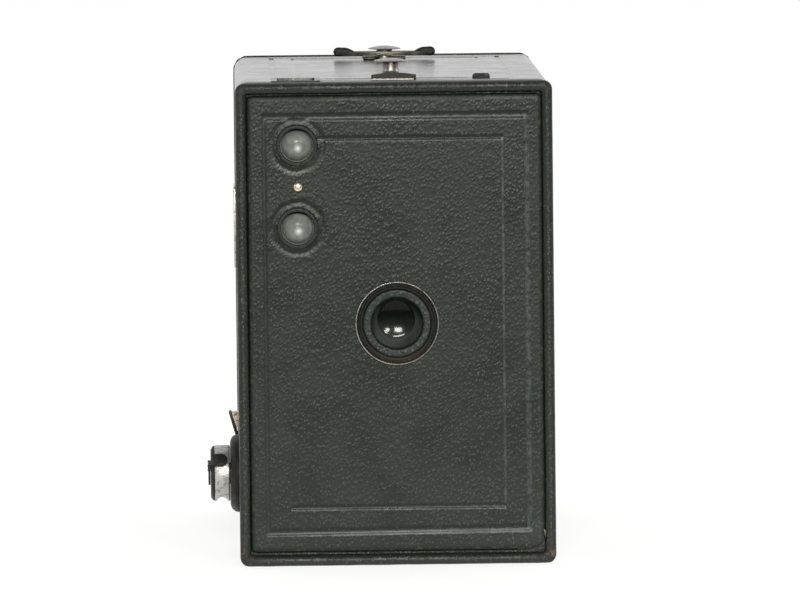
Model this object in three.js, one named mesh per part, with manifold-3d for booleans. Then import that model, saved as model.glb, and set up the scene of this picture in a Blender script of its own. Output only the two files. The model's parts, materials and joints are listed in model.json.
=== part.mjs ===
// A roll-film box camera for 2 1/2 x 4 1/4 inch pictures, in millimetres.
// +Z is up, the lens looks towards -Y, and +X is to the right of somebody who looks at the lens.
// The origin is at the middle of the underside. The picture is taken standing up.
import * as THREE from "three";
import { mergeVertices } from "three/addons/utils/BufferGeometryUtils.js";
import Module from "manifold-3d";

const wasm = await Module();
wasm.setup();

// ---------------------------------------------------------------- driving dimensions
const WIDTH = 86;
const HEIGHT = 131.5;
const DEPTH = 152;
const WALL = 3;
const CORNER = 3.5;
const RUN = 0.08; // radial gap round whatever turns

const HALF = WIDTH / 2;
const FRONT = -DEPTH / 2;
const BACK = DEPTH / 2;
const INNER = HALF - WALL; // inside half width of the box
const INNER_TOP = HEIGHT - WALL;

// front face
const RIM_WIDTH = 2.6;
const RIM_DEPTH = 3.3;
const BOX_FRONT = FRONT + RIM_DEPTH;
const PANEL_FACE = FRONT + 0.7;
const PANEL_BACK = FRONT + 3.4;
const LENS_X = 0.3;
const LENS_Z = 66;
const FINDER_X = -26.4;
const FINDER_UPPER_Z = 114.6;
const FINDER_LOWER_Z = 92.1;
const BEZEL_RADIUS = 11.45;
const HOOD_RADIUS = 7.1;

// optics and shutter, from the front backwards
const STOP_SLIDE_Y = -62;
const LENS_BOARD = [-61, -57.2];
const LEVER_PLATE = [-56.6, -55.8];
const TIME_SLIDE_Y = -56;
const DISC_PLATE = [-54.8, -54.3];
const CARRIER_FRONT = [-52.4, -50.2];
const BIG_STOP_RADIUS = 5.2;
const STOP_PITCH = 11.8;
const DISC_X = 10;
const DISC_Z = 52;
const DISC_RADIUS = 25;
const LEVER_X = -28.5;
const LEVER_Z = 42;

// finders: the housings stand between the front panel and the film carrier
const HOUSING_Y = [-72.4, -50.4];
const FINDER_WINDOW_Y = -61;
const SIDE_WINDOW_LONG = 18;
const TOP_WINDOW_LONG = 13;
const WINDOW_SHORT = 10.2;

// film carrier
const SIDE_INNER = 37;
const SIDE_OUTER = 39.6;
const GATE_Y = [62, 64.5];
const GATE_HALF_X = 31;
const GATE_HALF_Z = 52.5;
const ROLLER_Y = 66;
const ROLLER_RADIUS = 2.6;
const ROLLER_OFFSET = 58;
const SPOOL_Y = -34;
const SPOOL_Z = 21.6;
const SUPPLY_Z = 109.5;
const SPOOL_RADIUS = 14;
const SPOOL_HALF = 36.3;
const SHAFT_RADIUS = 2.9;
const BLADE_HALF = 2.75; // the key's blade passes through the shaft's holes when the key is pulled out

// back door, its hinge and its catch
const BOX_BACK = BACK - 3.6;
const DOOR_FACE = BACK - 3.2;
const INNER_PLATE = [BACK - 5.6, DOOR_FACE];
const RED_WINDOW_Z = 45;
const HINGE_Y = BACK + 1;
const HINGE_Z = 1.5;
const KNUCKLE_RADIUS = 1.4;
const HINGE_PIN_RADIUS = 0.64;
const STUD_Y = [-19, 53];
const STUD_NECK = 2.25;
const BAR_Z = [HEIGHT + 1.1, HEIGHT + 2.2];

const TRIPOD_Y = 25;
const TRIPOD_RADIUS = 3.175;

// ---------------------------------------------------------------- materials
function paint(color, roughness, metalness = 0) {
  return new THREE.MeshStandardMaterial({ color, roughness, metalness });
}

const leatherette = paint(0x2c302a, 0.75);
const blackMetal = paint(0x24261f, 0.5, 0.4);
const wornNickel = paint(0xa9a59b, 0.35, 1);
const brass = paint(0xc2a270, 0.4, 1);
const rimMetal = paint(0xb8a78c, 0.4, 1);
const wood = paint(0x9b7b52, 0.8);
const blackCard = paint(0x1a1a1a, 0.9);
const glass = paint(0xb9bcae, 0.1);
const mirror = paint(0xd0d4d4, 0.05, 1);
const redCelluloid = paint(0x7a1414, 0.2);
const steel = paint(0x8d8f90, 0.35, 1);

// ---------------------------------------------------------------- shape helpers
const AXES = {
  x: new THREE.Vector3(1, 0, 0),
  y: new THREE.Vector3(0, 1, 0),
  z: new THREE.Vector3(0, 0, 1),
  "-x": new THREE.Vector3(-1, 0, 0),
  "-y": new THREE.Vector3(0, -1, 0),
  "-z": new THREE.Vector3(0, 0, -1),
};

function toSolid(geometry) {
  const bare = geometry.clone();
  bare.deleteAttribute("normal");
  bare.deleteAttribute("uv");
  const merged = mergeVertices(bare, 1e-4);
  const kept = [];
  const index = merged.index.array;
  for (let i = 0; i < index.length; i += 3) {
    const [a, b, c] = [index[i], index[i + 1], index[i + 2]];
    if (a !== b && b !== c && c !== a) {
      kept.push(a, b, c);
    }
  }
  return new wasm.Manifold(
    new wasm.Mesh({
      numProp: 3,
      vertProperties: new Float32Array(merged.attributes.position.array),
      triVerts: new Uint32Array(kept),
    }),
  );
}

function toGeometry(solid) {
  const mesh = solid.getMesh();
  const geometry = new THREE.BufferGeometry();
  geometry.setAttribute("position", new THREE.BufferAttribute(new Float32Array(mesh.vertProperties), 3));
  geometry.setIndex(new THREE.BufferAttribute(new Uint32Array(mesh.triVerts), 1));
  const split = geometry.toNonIndexed();
  split.computeVertexNormals();
  return split;
}

function join(...geometries) {
  const solid = geometries.map(toSolid).reduce((sum, next) => sum.add(next));
  return toGeometry(solid);
}

function cut(base, ...tools) {
  const solid = tools.map(toSolid).reduce((rest, tool) => rest.subtract(tool), toSolid(base));
  return toGeometry(solid);
}

// A block between two opposite corners.
function block([x0, x1], [y0, y1], [z0, z1]) {
  const geometry = new THREE.BoxGeometry(x1 - x0, y1 - y0, z1 - z0);
  return geometry.translate((x0 + x1) / 2, (y0 + y1) / 2, (z0 + z1) / 2);
}

// A body turned round an axis. The profile is a closed loop of [radius, distance along the axis].
function turned(profile, axis, [x, y, z], segments = 24) {
  let area = 0;
  profile.forEach(([r, h], i) => {
    const [nextR, nextH] = profile[(i + 1) % profile.length];
    area += r * nextH - nextR * h;
  });
  const ordered = area > 0 ? profile : [...profile].reverse();
  const loop = [...ordered, ordered[0]].map(([r, h]) => new THREE.Vector2(r, h));
  const geometry = new THREE.LatheGeometry(loop, segments);
  geometry.applyQuaternion(new THREE.Quaternion().setFromUnitVectors(AXES.y, AXES[axis]));
  return geometry.translate(x, y, z);
}

// A solid of revolution whose profile starts and ends on the axis.
function turnedSolid(profile, axis, at, segments = 24) {
  const points = profile.map(([r, h]) => new THREE.Vector2(r, h));
  const geometry = new THREE.LatheGeometry(points, segments);
  geometry.applyQuaternion(new THREE.Quaternion().setFromUnitVectors(AXES.y, AXES[axis]));
  return geometry.translate(...at);
}

// A solid disc or rod along an axis, from distance h0 to h1.
function rod(radius, [h0, h1], axis, at, segments = 24) {
  return turnedSolid([[0, h0], [radius, h0], [radius, h1], [0, h1]], axis, at, segments);
}

function roundedRectangle([x0, x1], [y0, y1], radius) {
  const shape = new THREE.Shape();
  const quarter = Math.PI / 2;
  shape.absarc(x1 - radius, y0 + radius, radius, -quarter, 0, false);
  shape.absarc(x1 - radius, y1 - radius, radius, 0, quarter, false);
  shape.absarc(x0 + radius, y1 - radius, radius, quarter, 2 * quarter, false);
  shape.absarc(x0 + radius, y0 + radius, radius, 2 * quarter, 3 * quarter, false);
  return shape;
}

function polygon(points) {
  return new THREE.Shape(points.map(([a, b]) => new THREE.Vector2(a, b)));
}

// An outline is drawn in X-Z and runs along Y, is drawn in Y-Z and runs along X, or in X-Y and along Z.
const EXTRUDE_TURN = {
  x: new THREE.Matrix4().makeBasis(AXES.y, AXES.z, AXES.x),
  y: new THREE.Matrix4().makeBasis(AXES.x, AXES.z, AXES["-y"]),
  z: new THREE.Matrix4(),
};

// Extrusion options that round the two ends' edges inwards.
function rounding(thickness, size, segments) {
  return {
    bevelEnabled: true,
    bevelThickness: thickness,
    bevelSize: size,
    bevelOffset: -size,
    bevelSegments: segments,
  };
}

function extruded(shape, axis, [from, to], options = {}) {
  const bevel = options.bevelEnabled ? options.bevelThickness : 0;
  const settings = { bevelEnabled: false, curveSegments: 4, ...options, depth: to - from - 2 * bevel };
  const geometry = new THREE.ExtrudeGeometry(shape, settings);
  geometry.translate(0, 0, bevel);
  geometry.applyMatrix4(EXTRUDE_TURN[axis]);
  const start = axis === "y" ? to : from;
  return geometry.translate(...AXES[axis].clone().multiplyScalar(start).toArray());
}

const camera = new THREE.Group();

function piece(name, geometry, material, group = camera) {
  const mesh = new THREE.Mesh(geometry, material.clone());
  mesh.name = name;
  group.add(mesh);
  return mesh;
}

// ---------------------------------------------------------------- box, rim and front panel
function outerBox() {
  const outline = roundedRectangle([-HALF, HALF], [0, HEIGHT], CORNER);
  outline.holes.push(roundedRectangle([-INNER, INNER], [WALL, INNER_TOP], 0.6));
  const sleeve = extruded(outline, "y", [BOX_FRONT, BOX_BACK]);
  const slotX = [LENS_X - 6.3, LENS_X + 6.3];
  const topWall = [INNER_TOP - 1, HEIGHT + 1];
  const sideWall = [-HALF - 1, -INNER + 1];
  const cuts = [
    block(slotX, [STOP_SLIDE_Y - 0.45, STOP_SLIDE_Y + 0.45], topWall),
    block([21.7, 26.9], [TIME_SLIDE_Y - 0.45, TIME_SLIDE_Y + 0.45], topWall),
    block([FINDER_X - 6.3, FINDER_X + 6.3], windowSpan(7.7), topWall),
    block(sideWall, windowSpan(6.3), [FINDER_LOWER_Z - 10.35, FINDER_LOWER_Z + 10.35]),
    block(sideWall, [LEVER_PLATE[0] - 0.3, LEVER_PLATE[1] + 0.3], [LEVER_Z - 6.6, LEVER_Z + 6.3]),
    rod(SHAFT_RADIUS + 0.3, [INNER - 1, HALF + 1], "-x", [0, SPOOL_Y, SPOOL_Z]),
    rod(1.62, [-4, 1], "z", [LENS_X, STUD_Y[0], HEIGHT], 20),
    rod(1.62, [-4, 1], "z", [0, STUD_Y[1], HEIGHT], 20),
    rod(8.2, [-1, 1.05], "z", [0, TRIPOD_Y, 0], 16),
    rod(5.1, [-1, WALL + 1], "z", [0, TRIPOD_Y, 0], 16),
    rod(8.2, [-1.05, 1], "x", [HALF, TRIPOD_Y, LENS_Z], 16),
    rod(5.1, [-WALL - 1, 1], "x", [HALF, TRIPOD_Y, LENS_Z], 16),
    block([-30.3, 30.3], [59.7, BOX_BACK + 1], [-1, 0.8]),
  ];
  return cut(sleeve, ...cuts);
}

function windowSpan(half) {
  return [FINDER_WINDOW_Y - half, FINDER_WINDOW_Y + half];
}

function frontFrame() {
  const outline = roundedRectangle([-HALF, HALF], [0, HEIGHT], 2);
  const opening = [-HALF + RIM_WIDTH, HALF - RIM_WIDTH];
  outline.holes.push(roundedRectangle(opening, [RIM_WIDTH, HEIGHT - RIM_WIDTH], 0.8));
  return extruded(outline, "y", [FRONT, BOX_FRONT], rounding(1.2, 1.1, 2));
}

function frontPanel() {
  const outline = roundedRectangle([-39.75, 39.75], [3.9, 128], 1);
  const board = extruded(outline, "y", [PANEL_FACE, PANEL_BACK]);
  const through = [-1, 5];
  const at = (x, z) => [x, PANEL_FACE, z];
  return cut(
    board,
    rod(8.6, through, "y", at(LENS_X, LENS_Z), 24),
    rod(10.35, [-1, 0.95], "y", at(LENS_X, LENS_Z), 32),
    rod(5.7, through, "y", at(FINDER_X, FINDER_UPPER_Z)),
    rod(5.7, through, "y", at(FINDER_X, FINDER_LOWER_Z)),
    rod(0.7, through, "y", at(FINDER_X + 0.2, (FINDER_UPPER_Z + FINDER_LOWER_Z) / 2), 10),
  );
}

function bezel() {
  const profile = [
    [9.3, -0.8], [9.3, 0.05], [10, -0.1], [11, 0.85], [11.3, 0.85],
    [BEZEL_RADIUS, 0.5], [BEZEL_RADIUS, 0.02], [10.2, 0.02], [10.2, -0.8],
  ];
  return turned(profile, "-y", [LENS_X, PANEL_FACE, LENS_Z], 32);
}

// The covered ring inside the metal rim: its bore is the hood in front of the lens.
function lensSurround() {
  const profile = [
    [HOOD_RADIUS, -5.4], [HOOD_RADIUS, 0.2], [HOOD_RADIUS + 0.4, 0.45], [9.1, 0.45],
    [9.2, 0.25], [9.2, -0.9], [8.5, -0.9], [8.5, -5.4],
  ];
  return turned(profile, "-y", [LENS_X, PANEL_FACE, LENS_Z], 24);
}

function finderEyelet(z) {
  const profile = [
    [4.15, -0.3], [4.75, 0.35], [5.2, 0.4], [5.6, 0.05], [5.6, -2.7], [4.8, -2.7], [4.8, -1], [4.15, -0.9],
  ];
  return turned(profile, "-y", [FINDER_X, PANEL_FACE, z], 18);
}

function finderLens(z) {
  const profile = [[0, -2.3], [4.7, -2.3], [4.7, -1.05], [4.05, -0.95], [2.4, -0.3], [0, -0.05]];
  return turnedSolid(profile, "-y", [FINDER_X, PANEL_FACE, z], 18);
}

function panelPin() {
  const profile = [[0, -2.4], [0.62, -2.4], [0.62, 0], [1.25, 0], [1.15, 0.35], [0.7, 0.6], [0, 0.7]];
  return turnedSolid(profile, "-y", [FINDER_X + 0.2, PANEL_FACE, (FINDER_UPPER_Z + FINDER_LOWER_Z) / 2], 12);
}

piece("outer_box", outerBox(), leatherette);
piece("front_frame", frontFrame(), leatherette);
piece("front_panel", frontPanel(), leatherette);
piece("lens_bezel", bezel(), rimMetal);
piece("lens_surround", lensSurround(), leatherette);
piece("finder_eyelet_upper", finderEyelet(FINDER_UPPER_Z), leatherette);
piece("finder_eyelet_lower", finderEyelet(FINDER_LOWER_Z), leatherette);
piece("finder_lens_upper", finderLens(FINDER_UPPER_Z), glass);
piece("finder_lens_lower", finderLens(FINDER_LOWER_Z), glass);
piece("panel_pin", panelPin(), brass);

// ---------------------------------------------------------------- finders
const CARD = 0.8;
const HOUSING_X = [FINDER_X - 7.2, FINDER_X + 7.2];
const HOUSING_UPPER_Z = [104, INNER_TOP - 0.05];
const HOUSING_LOWER_X = [-INNER + 0.1, HOUSING_X[1]];
const HOUSING_LOWER_Z = [80.6, 103.6];

function inset([a, b], by) {
  return [a + by, b - by];
}

function finderHousingUpper() {
  return cut(
    block(HOUSING_X, HOUSING_Y, HOUSING_UPPER_Z),
    block(inset(HOUSING_X, CARD), inset(HOUSING_Y, CARD), inset(HOUSING_UPPER_Z, CARD)),
    rod(4.8, [-5, 5], "y", [FINDER_X, HOUSING_Y[0], FINDER_UPPER_Z], 20),
    block([FINDER_X - 5.1, FINDER_X + 5.1], windowSpan(9), [120, 130]),
  );
}

function finderHousingLower() {
  return cut(
    block(HOUSING_LOWER_X, HOUSING_Y, HOUSING_LOWER_Z),
    block(inset(HOUSING_LOWER_X, CARD), inset(HOUSING_Y, CARD), inset(HOUSING_LOWER_Z, CARD)),
    rod(4.8, [-5, 5], "y", [FINDER_X, HOUSING_Y[0], FINDER_LOWER_Z], 20),
    block([-45, -37], windowSpan(5.1), [FINDER_LOWER_Z - 9, FINDER_LOWER_Z + 9]),
  );
}

const MIRROR_GLASS = 1.2;

// The upper mirror sends the view up, the lower one sends it out to the left.
function placedMirror(name, [width, length], turn, z) {
  const mesh = piece(name, new THREE.BoxGeometry(width, length, MIRROR_GLASS), mirror);
  mesh.rotation.set(...turn);
  mesh.position.set(FINDER_X, FINDER_WINDOW_Y, z);
}

function screen(half, thickness, axis) {
  const [a, b] = half;
  const t = [-thickness / 2, thickness / 2];
  return axis === "z" ? block([-a, a], [-b, b], t) : block(t, [-a, a], [-b, b]);
}

// A window frame is a flange on the outside and a skirt that lines the opening in the wall.
function finderFrame(long, flangeWidth, flangeThickness) {
  const layer = (border, corner, span) => {
    const x = WINDOW_SHORT / 2 + border;
    const y = long / 2 + border;
    const outline = roundedRectangle([-x, x], [-y, y], corner);
    outline.holes.push(roundedRectangle([-x + border, x - border], [-y + border, y - border], 0.5));
    return extruded(outline, "z", span, { curveSegments: 2 });
  };
  return join(layer(flangeWidth, 1, [0, flangeThickness]), layer(1.1, 0.4, [-1.4, flangeThickness / 2]));
}

piece("finder_housing_upper", finderHousingUpper(), blackCard);
piece("finder_housing_lower", finderHousingLower(), blackCard);
placedMirror("finder_mirror_upper", [12.2, 21], [Math.PI / 4, 0, 0], FINDER_UPPER_Z);
placedMirror("finder_mirror_lower", [14, 18], [Math.PI / 2, Math.PI / 4, 0], FINDER_LOWER_Z);
piece("finder_glass_upper", screen([6.1, 7.5], 1, "z"), glass).position.set(
  FINDER_X,
  FINDER_WINDOW_Y,
  INNER_TOP + 0.75,
);
piece("finder_glass_lower", screen([6.1, 10.2], 1, "x"), glass).position.set(
  -INNER - 0.75,
  FINDER_WINDOW_Y,
  FINDER_LOWER_Z,
);
const topFrame = piece("finder_frame_upper", finderFrame(TOP_WINDOW_LONG, 1.6, 0.3), blackMetal);
topFrame.position.set(FINDER_X, FINDER_WINDOW_Y, HEIGHT);
const sideFrame = new THREE.Group();
sideFrame.rotation.set(Math.PI / 2, -Math.PI / 2, 0);
sideFrame.position.set(-HALF, FINDER_WINDOW_Y, FINDER_LOWER_Z);
camera.add(sideFrame);
piece("finder_frame_lower", finderFrame(SIDE_WINDOW_LONG, 2.1, 0.7), wornNickel, sideFrame);

// ---------------------------------------------------------------- lens, stops and shutter
const FINDER_CLEAR_X = HOUSING_X[1] + 0.6;
const FINDER_CLEAR_Z = 79;

// A board that fills the box but for the corner where the finders are.
function lightBoard([y0, y1], holes) {
  return cut(
    block([-39.6, 39.6], [y0, y1], [3.4, 128.1]),
    block([-45, FINDER_CLEAR_X], [y0 - 1, y1 + 1], [FINDER_CLEAR_Z, 135]),
    ...holes,
  );
}

function lensBoard() {
  const [y0, y1] = LENS_BOARD;
  const through = [-1, y1 - y0 + 1];
  return lightBoard(LENS_BOARD, [
    rod(8.05, through, "y", [LENS_X, y0, LENS_Z], 20),
    rod(1.25, through, "y", [LEVER_X, y0, LEVER_Z], 12),
    rod(1.25, through, "y", [DISC_X, y0, DISC_Z], 12),
  ]);
}

function lensCell() {
  const profile = [
    [5.6, 0], [7.95, 0], [7.95, 3.95], [9.6, 3.95], [9.6, 4.7], [6.5, 4.7], [6.5, 0.8], [5.6, 0.8],
  ];
  return turned(profile, "y", [LENS_X, LENS_BOARD[0] + 0.05, LENS_Z], 20);
}

function meniscus() {
  const front = [[0, 1.7], [2.5, 1.4], [5, 0.95], [6.4, 0.95]];
  const profile = [...front, [6.4, 2.6], [4.6, 3.1], [2.4, 3.5], [0, 3.6]];
  return turnedSolid(profile, "y", [LENS_X, LENS_BOARD[0] + 0.05, LENS_Z], 20);
}

function retainingRing() {
  const profile = [[5.4, 3.4], [6.4, 3.4], [6.4, 4.2], [5.4, 4.2]];
  return turned(profile, "y", [LENS_X, LENS_BOARD[0] + 0.05, LENS_Z], 20);
}

// A strip with a row of round stops, wide enough to fill the hood behind the lens opening.
// Its top end is the tab that is pulled up.
function stopSlide() {
  const half = 6.1;
  const wide = 7.7;
  const top = HEIGHT + 2;
  const foot = LENS_Z - 2 * STOP_PITCH - 8;
  const shoulder = LENS_Z + 9;
  const shape = new THREE.Shape();
  shape.moveTo(LENS_X - wide, foot);
  shape.lineTo(LENS_X + wide, foot);
  shape.lineTo(LENS_X + wide, shoulder);
  shape.lineTo(LENS_X + half, shoulder + 2);
  shape.lineTo(LENS_X + half, top - 0.7);
  shape.quadraticCurveTo(LENS_X, top + 0.5, LENS_X - half, top - 0.7);
  shape.lineTo(LENS_X - half, shoulder + 2);
  shape.lineTo(LENS_X - wide, shoulder);
  const stops = [BIG_STOP_RADIUS, 3.6, 2.6];
  stops.forEach((radius, i) => {
    const hole = new THREE.Path();
    hole.absarc(LENS_X, LENS_Z - i * STOP_PITCH, radius, 0, 2 * Math.PI, true);
    shape.holes.push(hole);
  });
  return extruded(shape, "y", [STOP_SLIDE_Y - 0.3, STOP_SLIDE_Y + 0.3], { curveSegments: 14 });
}

function timeSlide() {
  const strip = roundedRectangle([21.9, 26.7], [76, HEIGHT + 1.2], 0.9);
  return extruded(strip, "y", [TIME_SLIDE_Y - 0.3, TIME_SLIDE_Y + 0.3]);
}

function shutterDisc() {
  const disc = new THREE.Shape();
  disc.absarc(0, 0, DISC_RADIUS, 0, 2 * Math.PI, false);
  const opening = new THREE.Path();
  const toLens = Math.atan2(LENS_Z - DISC_Z, LENS_X - DISC_X);
  const reach = Math.hypot(LENS_Z - DISC_Z, LENS_X - DISC_X);
  const angle = toLens + Math.PI / 4;
  opening.absarc(reach * Math.cos(angle), reach * Math.sin(angle), 6, 0, 2 * Math.PI, true);
  const bore = new THREE.Path();
  bore.absarc(0, 0, 1.2 + RUN, 0, 2 * Math.PI, true);
  disc.holes.push(opening, bore);
  return extruded(disc, "y", DISC_PLATE, { curveSegments: 18 }).translate(DISC_X, 0, DISC_Z);
}

// A headed pivot that stands in the back of the lens board. Its head runs from headY to 0.6 behind that.
function pivot(x, z, headY) {
  const seat = LENS_BOARD[1];
  const neck = headY - seat;
  const profile = [[0, -3], [1.2, -3], [1.2, neck], [2.3, neck], [2.3, neck + 0.6], [0, neck + 0.6]];
  return turnedSolid(profile, "y", [x, seat, z], 16);
}

function shutterLever() {
  const web = polygon([
    [LEVER_X + 3.4, LEVER_Z - 3.4], [LEVER_X + 12.4, LEVER_Z + 1], [LEVER_X + 12.4, LEVER_Z + 4],
    [LEVER_X - 1, LEVER_Z + 3.6], [-39.5, LEVER_Z - 1.2], [-43.4, LEVER_Z - 1.1], [-45.3, LEVER_Z - 1.3],
    [-43.6, LEVER_Z - 7.2], [-43.4, LEVER_Z - 5.4], [-39.5, LEVER_Z - 4.9],
  ]);
  const bore = new THREE.Path();
  bore.absarc(LEVER_X, LEVER_Z, 1.2 + RUN, 0, 2 * Math.PI, true);
  web.holes.push(bore);
  const plate = extruded(web, "y", LEVER_PLATE, { curveSegments: 12 });
  const tab = new THREE.BoxGeometry(0.7, 6, 6.4);
  tab.rotateY(Math.atan2(-1.7, 5.9));
  tab.translate(-44.5, (LEVER_PLATE[0] + LEVER_PLATE[1]) / 2, LEVER_Z - 4.2);
  return join(plate, tab);
}

// A wire hairpin behind the lever: it tips the disc over from one side to the other.
function shutterSpring() {
  const y = (LEVER_PLATE[1] + DISC_PLATE[0]) / 2;
  const path = new THREE.CatmullRomCurve3([
    new THREE.Vector3(-17.5, y, 44.5),
    new THREE.Vector3(-16.5, y, 34),
    new THREE.Vector3(-11, y, 28.5),
    new THREE.Vector3(-6, y, 33),
    new THREE.Vector3(-4, y, 43),
  ]);
  const wire = new THREE.Shape();
  wire.absarc(0, 0, 0.28, 0, 2 * Math.PI, false);
  const settings = { steps: 16, curveSegments: 3, bevelEnabled: false, extrudePath: path };
  return new THREE.ExtrudeGeometry(wire, settings);
}

piece("lens_board", lensBoard(), wood);
piece("lens_cell", lensCell(), blackMetal);
piece("lens", meniscus(), glass);
piece("lens_retaining_ring", retainingRing(), blackMetal);
piece("stop_slide", stopSlide(), blackMetal);
piece("time_slide", timeSlide(), blackMetal);
piece("shutter_disc", shutterDisc(), blackMetal);
piece("shutter_disc_pivot", pivot(DISC_X, DISC_Z, DISC_PLATE[1] + 0.1), brass);
piece("shutter_lever", shutterLever(), blackMetal);
piece("shutter_lever_pivot", pivot(LEVER_X, LEVER_Z, LEVER_PLATE[1] + 0.1), brass);
piece("shutter_spring", shutterSpring(), steel);

// ---------------------------------------------------------------- film carrier
function carrierFrontBoard() {
  const [y0, y1] = CARRIER_FRONT;
  return lightBoard(CARRIER_FRONT, [rod(9, [-1, y1 - y0 + 1], "y", [LENS_X, y0, LENS_Z], 24)]);
}

// side is -1 for the key's side and 1 for the other.
function carrierSide(side) {
  const x = side < 0 ? [-SIDE_OUTER, -SIDE_INNER] : [SIDE_INNER, SIDE_OUTER];
  const through = [SIDE_INNER - 1, SIDE_OUTER + 1];
  const along = side < 0 ? "-x" : "x";
  const holes = [
    rod(1.06, through, along, [0, ROLLER_Y, LENS_Z - ROLLER_OFFSET], 12),
    rod(1.06, through, along, [0, ROLLER_Y, LENS_Z + ROLLER_OFFSET], 12),
    rod(2.35, through, along, [0, SPOOL_Y, SUPPLY_Z], 16),
  ];
  if (side < 0) {
    holes.push(rod(SHAFT_RADIUS + 0.5, through, along, [0, SPOOL_Y, SPOOL_Z], 20));
  } else {
    holes.push(rod(2.35, through, along, [0, SPOOL_Y, SPOOL_Z], 16));
    holes.push(rod(5.4, through, along, [0, TRIPOD_Y, LENS_Z], 20));
  }
  return cut(block(x, [CARRIER_FRONT[1] + 0.1, 69.5], [4, 127.5]), ...holes);
}

// A four-sided pyramid stump along Y with the given half sizes at its two ends.
function stump([y0, y1], [frontX, frontZ], [backX, backZ]) {
  const geometry = new THREE.BoxGeometry(2, y1 - y0, 2).translate(0, (y0 + y1) / 2, 0);
  const at = geometry.attributes.position;
  for (let i = 0; i < at.count; i += 1) {
    const [halfX, halfZ] = at.getY(i) < (y0 + y1) / 2 ? [frontX, frontZ] : [backX, backZ];
    at.setX(i, at.getX(i) * halfX);
    at.setZ(i, at.getZ(i) * halfZ);
  }
  return geometry.translate(0, 0, LENS_Z);
}

function pictureCone() {
  const span = [CARRIER_FRONT[1] + 0.05, GATE_Y[0] - 0.05];
  const front = 11;
  const outer = stump(span, [front + CARD, front + CARD], [GATE_HALF_X + CARD, GATE_HALF_Z + CARD]);
  const growX = (GATE_HALF_X - front) / (span[1] - span[0]);
  const growZ = (GATE_HALF_Z - front) / (span[1] - span[0]);
  const inner = stump(
    [span[0] - 1, span[1] + 1],
    [front - growX, front - growZ],
    [GATE_HALF_X + growX, GATE_HALF_Z + growZ],
  );
  return cut(outer, inner);
}

function filmGate() {
  const plate = roundedRectangle([-36.9, 36.9], [LENS_Z - 54.6, LENS_Z + 54.6], 0.5);
  plate.holes.push(
    roundedRectangle([-GATE_HALF_X, GATE_HALF_X], [LENS_Z - GATE_HALF_Z, LENS_Z + GATE_HALF_Z], 0.5),
  );
  return extruded(plate, "y", GATE_Y, { curveSegments: 1 });
}

function roller(z) {
  const [end, axle] = [36.4, 39.2];
  const left = [[0, -axle], [1, -axle], [1, -end], [ROLLER_RADIUS, -end]];
  const right = [...left].reverse().map(([r, x]) => [r, -x]);
  return turnedSolid([...left, ...right], "x", [0, ROLLER_Y, z], 12);
}

// Wooden core, metal flanges. The key's blade enters the slot in one end, a pin the hole in the other.
function takeUpSpool() {
  const inside = SPOOL_HALF - 0.8;
  const left = [[0, -SPOOL_HALF], [SPOOL_RADIUS, -SPOOL_HALF], [SPOOL_RADIUS, -inside], [5.6, -inside]];
  const right = [...left].reverse().map(([r, x]) => [r, -x]);
  const slot = BLADE_HALF + 0.5;
  return cut(
    turnedSolid([...left, ...right], "x", [0, SPOOL_Y, SPOOL_Z], 20),
    block([-40, -32.2], [SPOOL_Y - 0.95, SPOOL_Y + 0.95], [SPOOL_Z - slot, SPOOL_Z + slot]),
    rod(2.3 + RUN, [30, 40], "x", [0, SPOOL_Y, SPOOL_Z], 20),
  );
}

// A spool pin goes through a side board and holds one end of a spool.
function spoolPin(side, z) {
  const profile = [[0, 31.2], [2.2, 31.2], [2.2, SIDE_OUTER + 0.1], [0, SIDE_OUTER + 0.1]];
  return turnedSolid(profile, side < 0 ? "-x" : "x", [0, SPOOL_Y, z], 16);
}

piece("carrier_front_board", carrierFrontBoard(), wood);
piece("carrier_side_left", carrierSide(-1), wood);
piece("carrier_side_right", carrierSide(1), wood);
piece("picture_cone", pictureCone(), blackCard);
piece("film_gate", filmGate(), blackMetal);
piece("roller_top", roller(LENS_Z + ROLLER_OFFSET), steel);
piece("roller_bottom", roller(LENS_Z - ROLLER_OFFSET), steel);
piece("take_up_spool", takeUpSpool(), wood);
piece("take_up_pin", spoolPin(1, SPOOL_Z), steel);
piece("supply_pin_left", spoolPin(-1, SUPPLY_Z), steel);
piece("supply_pin_right", spoolPin(1, SUPPLY_Z), steel);

// ---------------------------------------------------------------- winding key
const DRUM_RADIUS = 7.8;
const FLANGE_X = -HALF - 2;
const WASHER_X = [FLANGE_X - 0.45, FLANGE_X - 0.1];
const DRUM_X = [FLANGE_X - 4.7, FLANGE_X - 0.55];
const CAP_X = -50.9;
const KEY_AT = [0, SPOOL_Y, SPOOL_Z];

function escutcheon() {
  const bore = SHAFT_RADIUS + 0.25;
  const dome = [[10.8, HALF], [10.75, HALF + 0.5], [10.1, HALF + 1.45], [8.9, HALF + 2]];
  return turned([[bore, HALF], ...dome, [bore, HALF + 2]], "-x", KEY_AT, 24);
}

function keyWasher() {
  const bore = SHAFT_RADIUS + RUN;
  const profile = [[bore, -WASHER_X[1]], [6, -WASHER_X[1]], [6, -WASHER_X[0]], [bore, -WASHER_X[0]]];
  return turned(profile, "-x", KEY_AT, 16);
}

function windingKey() {
  const [outer, inner] = [-DRUM_X[0], -DRUM_X[1]];
  const body = turnedSolid(
    [
      [0, 37.2], [SHAFT_RADIUS, 37.2], [SHAFT_RADIUS, inner], [DRUM_RADIUS - 0.2, inner],
      [DRUM_RADIUS, inner + 0.3], [DRUM_RADIUS, outer], [0, outer],
    ],
    "-x",
    KEY_AT,
    24,
  );
  const bladeZ = [SPOOL_Z - BLADE_HALF, SPOOL_Z + BLADE_HALF];
  const blade = block([-37.4, -33], [SPOOL_Y - 0.6, SPOOL_Y + 0.6], bladeZ);
  const notch = rod(1.6, [-20, 20], "y", [-47.8, SPOOL_Y, SPOOL_Z - DRUM_RADIUS], 12);
  return cut(join(body, blade), notch);
}

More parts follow.
